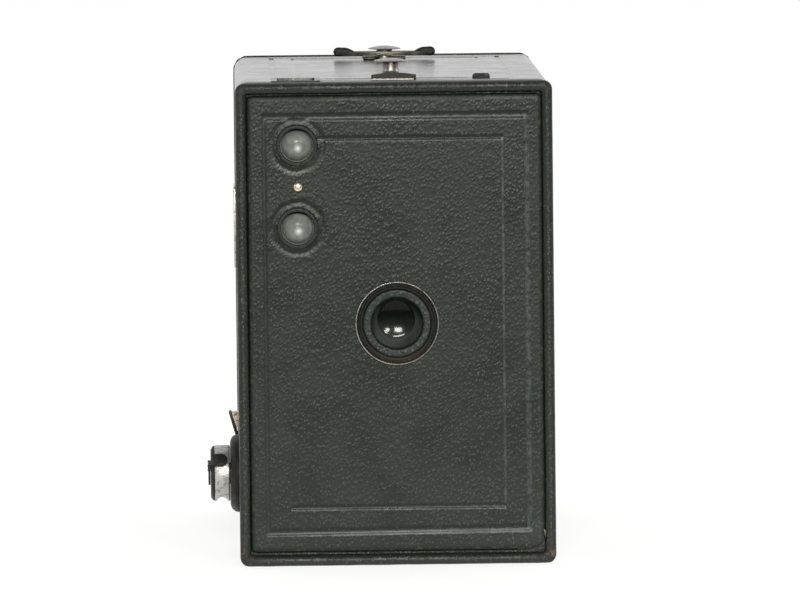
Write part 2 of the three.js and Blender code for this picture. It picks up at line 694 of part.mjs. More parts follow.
// The dark end cap: a shallow dome, two lugs folded over the drum and two ears that hold the thumb piece.
function keyEndCap() {
  const outer = -DRUM_X[0] + 0.05;
  const crown = outer + 1.15;
  const dome = turnedSolid(
    [[0, outer], [DRUM_RADIUS - 0.1, outer], [DRUM_RADIUS - 0.3, outer + 0.6], [6.6, crown], [0, crown]],
    "-x",
    KEY_AT,
    24,
  );
  const tongue = new THREE.Shape();
  tongue.moveTo(-50.4, -1.75);
  tongue.lineTo(-47.95, -1.75);
  tongue.absarc(-47.95, 0, 1.75, -Math.PI / 2, Math.PI / 2, false);
  tongue.lineTo(-50.4, 1.75);
  const lugs = [31, 211].flatMap((degrees) => {
    const lug = extruded(tongue, "y", [-8.75, -8], { curveSegments: 8 });
    const bridge = block([-50.4, -49.8], [-8.75, -7], [-1.75, 1.75]);
    const turn = -THREE.MathUtils.degToRad(degrees);
    return [lug, bridge].map((part) => part.rotateX(turn).translate(0, SPOOL_Y, SPOOL_Z));
  });
  const ears = [-1, 1].map((side) => {
    const y = SPOOL_Y + side * 5.9;
    return block([-51.75, -50], [y - 0.4, y + 0.4], [SPOOL_Z + 1.2, SPOOL_Z + 3]);
  });
  const hole = rod(0.45 + RUN, [-8, 8], "y", [CAP_X - 0.35, SPOOL_Y, SPOOL_Z + 2.1], 10);
  return cut(join(dome, ...lugs, ...ears), hole);
}

// It lies flat on the cap and folds out to be gripped.
function thumbPiece() {
  const leaf = roundedRectangle([SPOOL_Y - 5.2, SPOOL_Y + 5.2], [SPOOL_Z - 2.9, SPOOL_Z + 2.1], 1.6);
  const plate = extruded(leaf, "x", [CAP_X - 0.65, CAP_X - 0.1]);
  const axle = rod(0.45, [-6.2, 6.2], "y", [CAP_X - 0.35, SPOOL_Y, SPOOL_Z + 2.1], 10);
  return join(plate, axle);
}

piece("key_escutcheon", escutcheon(), blackMetal);
piece("key_washer", keyWasher(), steel);
piece("winding_key", windingKey(), wornNickel);
piece("key_end_cap", keyEndCap(), blackMetal);
piece("key_thumb_piece", thumbPiece(), blackMetal);

// ---------------------------------------------------------------- back door, hinge and catch
function backDoor() {
  const outline = roundedRectangle([-HALF, HALF], [0.3, HEIGHT], CORNER);
  const board = extruded(outline, "y", [DOOR_FACE, BACK]);
  return cut(
    board,
    rod(6.5, [-1, 5], "y", [0, DOOR_FACE, RED_WINDOW_Z], 24),
    block([-30.3, 30.3], [BACK - 0.6, BACK + 1], [-1, HINGE_Z + 1.7]),
    block([-30.3, 30.3], [DOOR_FACE - 1, BACK + 1], [-1, 0.95]),
    rod(0.85, [-2, 1], "y", [-3.5, BACK, 124], 10),
    rod(0.85, [-2, 1], "y", [3.5, BACK, 124], 10),
  );
}

function doorInnerPlate() {
  const outline = roundedRectangle([-39.5, 39.5], [3.8, 127.9], 0.5);
  return cut(extruded(outline, "y", INNER_PLATE), rod(5, [-5, 5], "y", [0, DOOR_FACE, RED_WINDOW_Z], 24));
}

function windowEyelet() {
  const profile = [[5, -2.3], [5, 0.5], [7.6, 0.5], [8, 0.05], [6.4, 0.05], [6.4, -2.3]];
  return turned(profile, "y", [0, BACK, RED_WINDOW_Z], 20);
}

// A bent strip on the door whose forked end lies on the top, round the neck of the rear stud.
function catchPlate() {
  const upright = block([-6, 6], [BACK + 0.05, BACK + 0.55], [118, HEIGHT + 0.6]);
  const tongue = block([-6, 6], [STUD_Y[1] - 4, BACK + 0.55], [HEIGHT + 0.1, HEIGHT + 0.6]);
  const fork = block([-2.75, 2.75], [STUD_Y[1] - 6, STUD_Y[1] + 3.4], [HEIGHT - 1, HEIGHT + 2]);
  const holes = [-3.5, 3.5].map((x) => rod(0.85, [-1, 2], "y", [x, BACK, 124], 10));
  return cut(join(upright, tongue), fork, ...holes);
}

function catchRivet(x) {
  const profile = [[0, -1.8], [0.8, -1.8], [0.8, 0.6], [1.5, 0.6], [1.2, 1.05], [0, 1.3]];
  return turnedSolid(profile, "y", [x, BACK, 124], 12);
}

function strapStud([x, y]) {
  const profile = [
    [0, -2.8], [1.55, -2.8], [1.55, 0.02], [STUD_NECK, 0.02], [STUD_NECK, 2.75], [4.7, 2.85],
    [4.65, 3.05], [3.4, 3.45], [1.8, 3.7], [0, 3.8],
  ];
  return turnedSolid(profile, "z", [x, y, HEIGHT], 20);
}

// The outline of a grip: round at its outer end and tapering down to the bar at its inner end.
function leafGrip(side) {
  const low = HEIGHT + 0.8;
  const high = HEIGHT + 3.4;
  const shape = new THREE.Shape();
  shape.moveTo(side * 8.4, low + 0.3);
  shape.lineTo(side * 13.1, low);
  shape.quadraticCurveTo(side * 14.4, low, side * 14.6, (low + high) / 2);
  shape.quadraticCurveTo(side * 14.4, high, side * 13.1, high);
  shape.lineTo(side * 11, high - 0.1);
  shape.quadraticCurveTo(side * 9.6, high - 0.4, side * 8, low + 1);
  return shape;
}

// A bow-tie bar that swivels round the rear stud, with a leaf-shaped grip standing at each end.
function latchBar() {
  const shape = new THREE.Shape();
  shape.moveTo(0, -3.2);
  shape.quadraticCurveTo(5, -3.2, 8.2, -1.7);
  shape.lineTo(13.2, -1.2);
  shape.lineTo(13.2, 1.2);
  shape.lineTo(8.2, 1.7);
  shape.quadraticCurveTo(5, 3.2, 0, 3.2);
  shape.quadraticCurveTo(-5, 3.2, -8.2, 1.7);
  shape.lineTo(-13.2, 1.2);
  shape.lineTo(-13.2, -1.2);
  shape.lineTo(-8.2, -1.7);
  shape.quadraticCurveTo(-5, -3.2, 0, -3.2);
  const bore = new THREE.Path();
  bore.absarc(0, 0, STUD_NECK + RUN, 0, 2 * Math.PI, true);
  shape.holes.push(bore);
  const bar = extruded(shape, "z", BAR_Z, { curveSegments: 8 });
  const grips = [-1, 1].map((side) => extruded(leafGrip(side), "y", [-1.4, 1.4], rounding(0.5, 0.5, 1)));
  const whole = join(bar, ...grips);
  return whole.translate(0, STUD_Y[1], 0);
}

const KNUCKLE_END = 10;

function knuckle([x0, x1]) {
  return rod(KNUCKLE_RADIUS, [x0, x1], "x", [0, HINGE_Y, HINGE_Z], 16);
}

function pinHole() {
  return rod(HINGE_PIN_RADIUS + 0.03, [-40, 40], "x", [0, HINGE_Y, HINGE_Z], 14);
}

function hingeLeafBody() {
  const leaf = block([-30, 30], [60, BACK - 0.9], [0.1, 0.7]);
  const straps = [[-30, -KNUCKLE_END - 0.15], [KNUCKLE_END + 0.15, 30]].map((x) =>
    join(block(x, [BACK - 1.2, HINGE_Y], [0.1, 0.7]), knuckle(x)),
  );
  return cut(join(leaf, ...straps), pinHole());
}

function hingeLeafDoor() {
  const x = [-KNUCKLE_END + 0.15, KNUCKLE_END - 0.15];
  const leaf = block([-30, 30], [BACK + 0.05, BACK + 0.6], [HINGE_Z + 2, 14]);
  const strap = join(block(x, [BACK + 0.05, BACK + 0.6], [HINGE_Z, HINGE_Z + 3]), knuckle(x));
  return cut(join(leaf, strap), pinHole());
}

piece("back_door", backDoor(), leatherette);
piece("door_inner_plate", doorInnerPlate(), blackCard);
piece("red_window", rod(6.4, [0.1, 0.8], "y", [0, DOOR_FACE, RED_WINDOW_Z]), redCelluloid);
piece("window_eyelet", windowEyelet(), blackMetal);
piece("catch_plate", catchPlate(), wornNickel);
piece("catch_rivet_left", catchRivet(-3.5), wornNickel);
piece("catch_rivet_right", catchRivet(3.5), wornNickel);
piece("strap_stud_front", strapStud([LENS_X, STUD_Y[0]]), wornNickel);
piece("strap_stud_rear", strapStud([0, STUD_Y[1]]), wornNickel);
piece("latch_bar", latchBar(), wornNickel);
piece("hinge_leaf_body", hingeLeafBody(), blackMetal);
piece("hinge_leaf_door", hingeLeafDoor(), blackMetal);
piece("hinge_pin", rod(HINGE_PIN_RADIUS, [-30, 30], "x", [0, HINGE_Y, HINGE_Z], 14), steel);

// ---------------------------------------------------------------- tripod bushes
function tripodBush(axis, at) {
  const profile = [
    [TRIPOD_RADIUS, 0], [8, 0], [8, -1], [5, -1], [5, -7.2], [TRIPOD_RADIUS, -7.2],
  ];
  return turned(profile, axis, at, 16);
}

piece("tripod_bush_bottom", tripodBush("-z", [0, TRIPOD_Y, 0]), wornNickel);
piece("tripod_bush_side", tripodBush("x", [HALF, TRIPOD_Y, LENS_Z]), wornNickel);

export default camera;
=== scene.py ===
"""Looks of the box camera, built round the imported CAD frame. Sizes in this file are millimetres."""
import json
import math

import bmesh
import bpy
from mathutils import Matrix, Vector, noise


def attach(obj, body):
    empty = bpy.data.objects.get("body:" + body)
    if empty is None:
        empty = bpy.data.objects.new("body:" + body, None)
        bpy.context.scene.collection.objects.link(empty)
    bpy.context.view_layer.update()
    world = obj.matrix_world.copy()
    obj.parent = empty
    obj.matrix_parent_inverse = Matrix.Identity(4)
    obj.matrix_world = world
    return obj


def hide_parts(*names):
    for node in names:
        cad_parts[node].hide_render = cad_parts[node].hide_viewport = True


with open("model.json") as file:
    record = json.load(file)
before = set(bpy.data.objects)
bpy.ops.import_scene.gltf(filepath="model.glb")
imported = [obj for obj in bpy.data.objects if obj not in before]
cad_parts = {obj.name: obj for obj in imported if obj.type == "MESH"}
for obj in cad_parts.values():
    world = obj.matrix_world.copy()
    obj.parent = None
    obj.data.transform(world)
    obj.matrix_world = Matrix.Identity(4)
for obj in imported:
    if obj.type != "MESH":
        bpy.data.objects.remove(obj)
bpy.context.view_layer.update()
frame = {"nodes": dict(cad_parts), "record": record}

MM = 0.001
ROOM_FRONT = 0.26

# ---------------------------------------------------------------- dimensions, the same as the CAD's
HALF, HEIGHT = 43.0, 131.5
INNER, INNER_BOTTOM, INNER_TOP = 40.0, 3.0, 128.5
CORNER = 3.5
FRONT, BACK = -76.0, 76.0
BOX_FRONT, BOX_BACK = -72.7, 72.4
RIM = 2.6
PANEL_FACE, PANEL_BACK = -75.3, -72.6
PANEL_X, PANEL_Z = (-40.1, 40.2), (3.7, 128.2)
LENS_X, LENS_Z = 0.3, 66.0
FINDER_X, FINDER_ZS = -26.4, {"upper": 114.6, "lower": 92.1}
FINDER_Y = -61.0
KEY_Y, KEY_Z = -34.0, 21.6
DOOR_FACE = 72.8
RED_Z = 45.0
STUDS = {"front": (0.3, -19.0), "rear": (0.0, 53.0)}
STOP_SLIDE_Y, TIME_SLIDE_Y = -62.0, -56.0
PIN_X, PIN_Z = FINDER_X + 0.2, 103.35
BUSH_Y = 25.0


# ---------------------------------------------------------------- camera, light and floor
# Lamps and floor are in metres.
def make_camera():
    azimuth, elevation, roll = map(math.radians, (-1.178, 4.522, -0.607))
    target, distance = Vector((2.671, 0, 66.35)), 2284.48
    back = Vector(
        (
            math.sin(azimuth) * math.cos(elevation),
            -math.cos(azimuth) * math.cos(elevation),
            math.sin(elevation),
        )
    )
    right = (-back).cross(Vector((0, 0, 1))).normalized()
    up = right.cross(-back)
    x = math.cos(roll) * right + math.sin(roll) * up
    y = -math.sin(roll) * right + math.cos(roll) * up
    data = bpy.data.cameras.new("camera")
    data.sensor_width, data.lens = 36, 366.47
    data.clip_start, data.clip_end = 0.05, 20
    cam = bpy.data.objects.new("camera", data)
    turn = Matrix((x, y, back)).transposed().to_4x4()
    cam.matrix_world = Matrix.Translation((target + back * distance) * MM) @ turn
    bpy.context.scene.collection.objects.link(cam)
    bpy.context.scene.camera = cam


def area_light(name, at, aim, size, watts, colour=(1, 1, 1)):
    data = bpy.data.lights.new(name, "AREA")
    data.shape, data.size, data.size_y = "RECTANGLE", size[0], size[1]
    data.energy, data.color = watts, colour
    lamp = bpy.data.objects.new(name, data)
    lamp.location = at
    lamp.rotation_euler = (Vector(aim) - Vector(at)).to_track_quat("-Z", "Y").to_euler()
    bpy.context.scene.collection.objects.link(lamp)


def make_studio():
    """A white room behind and a darker one in front, with two soft windows and a soft lamp on each side."""
    world = bpy.data.worlds.new("studio")
    bpy.context.scene.world = world
    world.use_nodes = True
    tree = world.node_tree
    tree.nodes.clear()
    out = tree.nodes.new("ShaderNodeOutputWorld")
    room = tree.nodes.new("ShaderNodeBackground")
    backdrop = tree.nodes.new("ShaderNodeBackground")
    backdrop.inputs["Color"].default_value = (1, 1, 1, 1)
    choose = tree.nodes.new("ShaderNodeMixShader")
    ramp = tree.nodes.new("ShaderNodeValToRGB")
    for element, (place, grey) in zip(ramp.color_ramp.elements, ((0.50, ROOM_FRONT), (0.69, 1.0))):
        element.position = place
        element.color = (grey, grey, grey, 1)
    coords = tree.nodes.new("ShaderNodeTexCoord")
    split = tree.nodes.new("ShaderNodeSeparateXYZ")
    scale = tree.nodes.new("ShaderNodeMapRange")
    scale.inputs["From Min"].default_value = -1
    path = tree.nodes.new("ShaderNodeLightPath")
    for a, b in (
        (coords.outputs["Generated"], split.inputs[0]),
        (split.outputs["Y"], scale.inputs["Value"]),
        (scale.outputs["Result"], ramp.inputs["Fac"]),
        (ramp.outputs["Color"], room.inputs["Color"]),
        (path.outputs["Is Camera Ray"], choose.inputs[0]),
        (room.outputs[0], choose.inputs[1]),
        (backdrop.outputs[0], choose.inputs[2]),
        (choose.outputs[0], out.inputs["Surface"]),
    ):
        tree.links.new(a, b)
    area_light("window_right", (0.70, -2.26, 0.70), (0, 0, 0.066), (0.28, 0.20), 12, (1.0, 0.95, 0.88))
    area_light("window_left", (-0.10, -2.26, 0.71), (0, 0, 0.066), (0.50, 0.29), 26, (1.0, 0.985, 0.95))
    area_light("side_left", (-1.9, -0.6, 0.8), (0, 0, 0.06), (0.9, 0.9), 6)
    area_light("side_right", (1.9, 0.2, 0.8), (0, 0, 0.06), (0.9, 0.9), 6)


def make_floor():
    mesh = bpy.data.meshes.new("floor")
    corners = [Vector((x, y, 0)) for x, y in ((-0.6, -0.24), (0.6, -0.24), (0.6, 0.42), (-0.6, 0.42))]
    mesh.from_pydata(corners, [], [(0, 1, 2, 3)])
    floor = bpy.data.objects.new("floor", mesh)
    bpy.context.scene.collection.objects.link(floor)
    material = bpy.data.materials.new("floor_white")
    material.use_nodes = True
    shader = material.node_tree.nodes["Principled BSDF"]
    shader.inputs["Base Color"].default_value = (0.34, 0.34, 0.335, 1)
    shader.inputs["Roughness"].default_value = 0.9
    shader.inputs["Specular IOR Level"].default_value = 0.1
    shader.inputs["Emission Color"].default_value = (1, 1, 0.995, 1)
    shader.inputs["Emission Strength"].default_value = 0.78
    mesh.materials.append(material)


# ---------------------------------------------------------------- material nodes
class Shader:
    """A material whose coordinates are object coordinates in millimetres."""

    def __init__(self, name):
        self.material = bpy.data.materials.new(name)
        self.material.use_nodes = True
        self.tree = self.material.node_tree
        self.tree.nodes.clear()
        self.out = self.node("ShaderNodeOutputMaterial")
        self.bsdf = self.node("ShaderNodeBsdfPrincipled")
        self.link(self.bsdf.outputs[0], self.out.inputs["Surface"])
        coords = self.node("ShaderNodeTexCoord")
        self.mm = self.scaled(coords.outputs["Object"], (1000, 1000, 1000))

    def node(self, kind, **settings):
        made = self.tree.nodes.new(kind)
        for key, value in settings.items():
            setattr(made, key, value)
        return made

    def link(self, a, b):
        self.tree.links.new(a, b)

    def fill(self, made, values):
        for key, value in values.items():
            socket = made.inputs[key]
            if isinstance(value, bpy.types.NodeSocket):
                self.link(value, socket)
            else:
                socket.default_value = value
        return made

    def scaled(self, vector, factors):
        made = self.node("ShaderNodeVectorMath", operation="MULTIPLY")
        self.link(vector, made.inputs[0])
        made.inputs[1].default_value = factors
        return made.outputs[0]

    def noise(self, scale, detail=3.0, rough=0.5, vector=None):
        made = self.node("ShaderNodeTexNoise")
        self.fill(made, {"Vector": vector or self.mm, "Scale": scale, "Detail": detail, "Roughness": rough})
        return made.outputs["Fac"]

    def cells(self, scale, vector=None):
        """Distance from the middle of the nearest cell of an irregular pattern."""
        made = self.node("ShaderNodeTexVoronoi")
        self.fill(made, {"Vector": vector or self.mm, "Scale": scale})
        return made.outputs["Distance"]

    def warped(self, vector, scale, amount):
        """The vector pushed about by noise of the given scale, by about amount millimetres."""
        texture = self.node("ShaderNodeTexNoise")
        self.fill(texture, {"Vector": vector, "Scale": scale, "Detail": 2.0})
        centred = self.node("ShaderNodeVectorMath", operation="SUBTRACT")
        self.link(texture.outputs["Color"], centred.inputs[0])
        centred.inputs[1].default_value = (0.5, 0.5, 0.5)
        push = self.scaled(centred.outputs[0], (2 * amount,) * 3)
        total = self.node("ShaderNodeVectorMath", operation="ADD")
        self.link(vector, total.inputs[0])
        self.link(push, total.inputs[1])
        return total.outputs[0]

    def ramp(self, value, low, high, to=(0.0, 1.0)):
        """A soft step of the value between low and high."""
        made = self.node("ShaderNodeMapRange", interpolation_type="SMOOTHSTEP")
        self.fill(made, {"Value": value, "From Min": low, "From Max": high, "To Min": to[0], "To Max": to[1]})
        return made.outputs["Result"]

    def math(self, operation, a, b=0.0, clamp=False):
        made = self.node("ShaderNodeMath", operation=operation, use_clamp=clamp)
        self.fill(made, {0: a, 1: b})
        return made.outputs[0]

    def times(self, a, b, clamp=False):
        return self.math("MULTIPLY", a, b, clamp)

    def mix(self, factor, a, b):
        made = self.node("ShaderNodeMix", data_type="RGBA")
        self.fill(made, {0: factor})
        for index, value in ((6, a), (7, b)):
            if isinstance(value, bpy.types.NodeSocket):
                self.link(value, made.inputs[index])
            else:
                made.inputs[index].default_value = (*value, 1)
        return made.outputs[2]

    def attribute(self, name):
        return self.node("ShaderNodeAttribute", attribute_name=name).outputs["Fac"]

    def pointiness(self, low, high):
        return self.ramp(self.node("ShaderNodeNewGeometry").outputs["Pointiness"], low, high)

    def bump(self, height, distance, strength=1.0):
        made = self.node("ShaderNodeBump")
        self.fill(made, {"Height": height, "Distance": distance * MM, "Strength": strength})
        return made.outputs["Normal"]

    def surface(self, **values):
        names = {
            "color": "Base Color",
            "rough": "Roughness",
            "metal": "Metallic",
            "normal": "Normal",
            "specular": "Specular IOR Level",
            "coat": "Coat Weight",
            "coat_rough": "Coat Roughness",
        }
        for key, value in values.items():
            if key == "color" and not isinstance(value, bpy.types.NodeSocket):
                value = (*value, 1)
            self.fill(self.bsdf, {names[key]: value})
        return self.material


def leather(name, base, crest, cells, slant, depth, rough, worn, wear, line=(0.078, 0.094, 0.094)):
    """Leathercloth: pebbles with a painted glint on each (a pale fleck in the crest colour standing in for
    its highlight), tooling, rubbed patches and worn edges.

    cells is how many pebbles there are in a millimetre along X, Y and Z. Values painted on the mesh: tooling
    is 1 in the pressed lines, faded says how pale they are, scuff_and_glint is 1 where the surface is rubbed
    and its painted glints are brighter, edge is 1 where the surface is rubbed.
    """
    s = Shader(name)
    turned = s.node("ShaderNodeVectorRotate", rotation_type="Y_AXIS")
    s.fill(turned, {"Vector": s.warped(s.mm, 0.4, 0.3), "Angle": slant})
    centre = s.cells(1.0, s.scaled(turned.outputs[0], cells))
    height = s.math("ADD", s.ramp(centre, 0.66, 0.1), s.times(s.noise(2.5, 3, 0.6), 0.3))
    flat = s.ramp(s.attribute("tooling"), 0.2, 0.9)
    height = s.times(height, s.ramp(flat, 0, 1, (1.0, 0.2)))
    # The patches and the rubbed value set how bright the painted glints are.
    patches = s.ramp(s.noise(0.07, 5, 0.68), 0.36, 0.66, (0.25, 1.0))
    patches = s.math("ADD", patches, s.times(s.attribute("scuff_and_glint"), 1.2))
    # Painted glints: a pale dot on each pebble, standing in for its highlight.
    painted_glints = s.times(s.ramp(centre, 0.36, 0.06), s.ramp(s.noise(0.9, 3, 0.6), 0.40, 0.66, (0.05, 1.0)))
    colour = s.mix(s.times(painted_glints, patches, clamp=True), base, crest)
    line_wear = s.times(flat, s.ramp(s.noise(0.6, 5, 0.8), 0.36, 0.66))
    colour = s.mix(s.times(line_wear, s.attribute("faded")), colour, line)
    edge = s.attribute("edge")
    chips = s.ramp(s.noise(0.6, 5, 0.7), 0.53, 0.64)
    bare = s.times(s.ramp(edge, 0.25, 0.9), chips, clamp=True)
    polish = s.ramp(s.noise(0.09, 3, 0.5), 0.3, 0.7, rough[::-1])
    return s.surface(
        color=s.mix(s.times(bare, wear), colour, worn),
        rough=s.math("ADD", polish, s.times(edge, 0.3)),
        specular=0.36,
        normal=s.bump(height, depth),
    )


def lacquer(name, base, under, rough):
    """Black lacquer on metal, rubbed through at its edges."""
    s = Shader(name)
    dents = s.noise(0.9, 4, 0.6)
    chips = s.ramp(s.noise(1.3, 5, 0.7), 0.70, 0.78)
    edges = s.times(s.pointiness(0.54, 0.62), s.ramp(s.noise(0.8, 3), 0.42, 0.62))
    bare = s.times(s.math("MAXIMUM", chips, edges, clamp=True), 0.75)
    dust = s.ramp(s.noise(0.35, 4), 0.4, 0.7, (0.0, 0.35))
    colour = s.mix(dust, base, tuple(2.2 * c + 0.004 for c in base))
    colour = s.mix(bare, colour, under)
    return s.surface(
        color=colour,
        metal=s.times(bare, 0.6),
        rough=s.ramp(dents, 0.3, 0.7, (rough - 0.1, rough + 0.14)),
        specular=0.3,
        normal=s.bump(dents, 0.03, 0.7),
    )


def two_tone(name, inside, crest, inside_rough, crest_rough, spots, metal_part=0.8):
    """Dark paint, bare metal where the mesh's bare value is 1, and brown painted light where its dust value
    is.
    """
    s = Shader(name)
    bare = s.attribute("bare")
    dirt = s.ramp(s.noise(0.9, 4, 0.7), 0.50, 0.64)
    metal = s.mix(s.times(dirt, 0.85), crest, spots)
    lighter = tuple(1.6 * c + 0.003 for c in inside)
    stain = s.mix(s.ramp(s.noise(0.35, 3), 0.45, 0.68, (0.0, 0.7)), inside, lighter)
    # Painted light: brown where the dust value is, set only low on the lens bezel.
    stain = s.mix(s.attribute("dust"), stain, (0.030, 0.021, 0.013))
    return s.surface(
        color=s.mix(bare, stain, metal),
        metal=s.times(bare, metal_part),
        rough=s.ramp(bare, 0, 1, (inside_rough, crest_rough)),
        specular=0.25,
        normal=s.bump(s.noise(2.0, 4, 0.6), 0.03, 0.6),
    )


def nickel(name, bright, dull, rough, along=(1, 1, 1)):
    """Old nickel plate: scratches along one way, dull spots and dirt in the corners."""
    s = Shader(name)
    scratches = s.noise(2.2, 4, 0.7, s.scaled(s.mm, along))
    spots = s.ramp(s.noise(0.9, 5, 0.65), 0.50, 0.66)
    pits = s.ramp(s.cells(1.6), 0.10, 0.03)
    dirt = s.pointiness(0.49, 0.44)
    tarnish = s.math("MAXIMUM", s.times(spots, 0.7), s.times(pits, 0.8), clamp=True)
    colour = s.mix(tarnish, bright, dull)
    colour = s.mix(s.times(dirt, 0.8), colour, (0.03, 0.026, 0.02))
    return s.surface(
        color=colour,
        metal=1.0,
        rough=s.ramp(scratches, 0.3, 0.7, rough),
        normal=s.bump(s.math("ADD", scratches, s.times(pits, -0.5)), 0.025, 0.6),
    )


def worn_brass(name, bright, dull, rough):
    s = Shader(name)
    patches = s.ramp(s.noise(1.1, 4, 0.65), 0.60, 0.74)
    return s.surface(
        color=s.mix(patches, bright, dull),
        metal=s.ramp(patches, 0, 1, (1.0, 0.25)),
        rough=s.ramp(s.noise(2.5, 3), 0.3, 0.7, rough),
        normal=s.bump(s.noise(2.0, 4, 0.6), 0.03, 0.5),
    )


def board(name):
    """Planed softwood, its grain upright, gone brown with age."""
    s = Shader(name)
    stretched = s.scaled(s.warped(s.mm, 0.05, 2.5), (1.0, 1.0, 0.06))
    rings = s.noise(0.7, 3, 0.6, stretched)
    fibres = s.noise(3.0, 3, 0.7, stretched)
    colour = s.mix(s.ramp(rings, 0.35, 0.65), (0.36, 0.22, 0.11), (0.20, 0.11, 0.05))
    colour = s.mix(s.ramp(s.noise(0.06, 3), 0.4, 0.7, (0.0, 0.5)), colour, (0.09, 0.055, 0.03))
    return s.surface(color=colour, rough=0.72, specular=0.3, normal=s.bump(fibres, 0.05, 0.6))


def card(name):
    s = Shader(name)
    dust = s.ramp(s.noise(0.2, 4, 0.6), 0.45, 0.75, (0.0, 0.5))
    colour = s.mix(dust, (0.010, 0.010, 0.0095), (0.030, 0.029, 0.027))
    return s.surface(color=colour, rough=0.88, specular=0.2, normal=s.bump(s.noise(3.0, 3), 0.04, 0.6))


def steel(name):
    s = Shader(name)
    rust = s.ramp(s.noise(0.6, 5, 0.7), 0.55, 0.70)
    colour = s.mix(rust, (0.42, 0.42, 0.42), (0.16, 0.075, 0.035))
    return s.surface(
        color=colour,
        metal=s.ramp(rust, 0, 1, (1.0, 0.2)),
        rough=s.ramp(rust, 0, 1, (0.32, 0.75)),
        normal=s.bump(s.noise(2.0, 3), 0.02, 0.5),
    )


def clouded_glass(name):
    """The finders' front lenses: pressed glass gone milky, with a painted highlight where it gathers the
    light and painted shade round the edge and under the top of the hole.
    """
    s = Shader(name)
    haze = s.ramp(s.noise(0.45, 4, 0.6), 0.35, 0.7)
    colour = s.mix(haze, (0.145, 0.157, 0.140), (0.225, 0.240, 0.222))
    # Painted shade round the edge and under the top of the hole.
    colour = s.mix(s.attribute("rim"), colour, (0.035, 0.037, 0.032))
    # Painted highlight a little below the middle.
    colour = s.mix(s.attribute("painted_highlight"), colour, (0.80, 0.80, 0.78))
    return s.surface(
        color=colour,
        rough=s.ramp(s.noise(0.8, 3), 0.3, 0.7, (0.16, 0.28)),
        specular=0.16,
        normal=s.bump(s.noise(0.5, 2), 0.03, 0.4),
    )


def ground_glass(name):
    s = Shader(name)
    colour = s.mix(s.ramp(s.noise(0.3, 4), 0.4, 0.7), (0.10, 0.105, 0.10), (0.16, 0.165, 0.155))
    return s.surface(color=colour, rough=0.34, specular=0.5, normal=s.bump(s.noise(6, 2), 0.01, 0.5))


def lens_glass(name):
    """Thick, slightly dusty glass in front of a dark shutter, lighter towards the bottom as painted light on
    the lit lower inside.
    """
    s = Shader(name)
    dust = s.ramp(s.noise(1.4, 4, 0.7), 0.60, 0.75)
    # Painted light: the lens's lower part lighter, as if lit from above inside.
    depth = s.mix(s.attribute("painted_light_below"), (0.0012, 0.0017, 0.0012), (0.036, 0.046, 0.034))
    colour = s.mix(dust, depth, (0.035, 0.040, 0.033))
    return s.surface(color=colour, rough=s.ramp(dust, 0, 1, (0.11, 0.3)), specular=0.2)


def silvered(name):
    s = Shader(name)
    spots = s.ramp(s.noise(0.7, 5, 0.7), 0.58, 0.66)
    colour = s.mix(spots, (0.80, 0.82, 0.81), (0.25, 0.22, 0.18))
    return s.surface(color=colour, metal=1.0, rough=s.ramp(spots, 0, 1, (0.03, 0.5)))


def celluloid(name):
    s = Shader(name)
    colour = s.mix(s.ramp(s.noise(0.5, 4), 0.35, 0.7), (0.22, 0.008, 0.006), (0.12, 0.006, 0.006))
    polish = s.ramp(s.noise(1.5, 3), 0.3, 0.7, (0.08, 0.28))
    return s.surface(color=colour, rough=polish, coat=0.4, coat_rough=0.1)


def torn_fibre(name, dark, light):
    s = Shader(name)
    strands = s.noise(5.0, 4, 0.7, s.scaled(s.mm, (1.0, 1.0, 0.3)))
    colour = s.mix(s.ramp(strands, 0.35, 0.65), dark, light)
    return s.surface(color=colour, rough=0.9, specular=0.1, normal=s.bump(strands, 0.08, 0.8))


# crest is the colour of each leathercloth's painted glints.
PANEL_LEATHER = leather(
    "leather_panel", base=(0.0066, 0.0120, 0.0064), crest=(0.066, 0.090, 0.072), cells=(1.30, 1.0, 0.90),
    slant=-0.5, depth=0.035, rough=(0.32, 0.42), worn=(0.15, 0.085, 0.045), wear=0.8,
)
BOX_LEATHER = leather(
    "leather_box", base=(0.012, 0.0150, 0.0110), crest=(0.036, 0.042, 0.033), cells=(1.2, 0.8, 1.0),
    slant=0.0, depth=0.020, rough=(0.16, 0.20), worn=(0.10, 0.085, 0.070), wear=0.7, line=(0.34, 0.35, 0.33),
)
BEAD_LEATHER = leather(
    "leather_bead", base=(0.0165, 0.0190, 0.0148), crest=(0.100, 0.112, 0.096), cells=(1.2, 1.2, 0.9),
    slant=-0.3, depth=0.08, rough=(0.36, 0.46), worn=(0.17, 0.095, 0.070), wear=0.7,
)
RING_LEATHER = leather(
    "leather_ring", base=(0.012, 0.0195, 0.0145), crest=(0.075, 0.100, 0.098), cells=(0.9, 0.9, 0.9),
    slant=0.0, depth=0.08, rough=(0.36, 0.5), worn=(0.11, 0.05, 0.03), wear=0.6,
)
BLACK_METAL = lacquer("black_lacquer", (0.0080, 0.0092, 0.0068), (0.06, 0.055, 0.045), 0.5)
GLOSS_BLACK = lacquer("gloss_black", (0.0085, 0.0092, 0.0075), (0.05, 0.045, 0.038), 0.24)
STOP_PAINT = two_tone(
    "stop_paint", (0.0075, 0.0085, 0.0065), (0.036, 0.050, 0.038), 0.5, 0.6, (0.020, 0.028, 0.021), 0.0
)
LATCH_METAL = two_tone(
    "latch_metal", (0.0075, 0.0082, 0.0068), (0.11, 0.10, 0.082), 0.5, 0.42, (0.035, 0.030, 0.024)
)
RIM_METAL = two_tone("worn_rim", (0.0040, 0.0046, 0.0038), (0.50, 0.48, 0.44), 0.55, 0.34, (0.2, 0.12, 0.075))
LEVER_METAL = two_tone("worn_lever", (0.010, 0.010, 0.008), (0.72, 0.62, 0.50), 0.4, 0.55, (0.1, 0.055, 0.03))
NICKEL = nickel("worn_nickel", (0.34, 0.325, 0.295), (0.12, 0.110, 0.092), (0.30, 0.50))
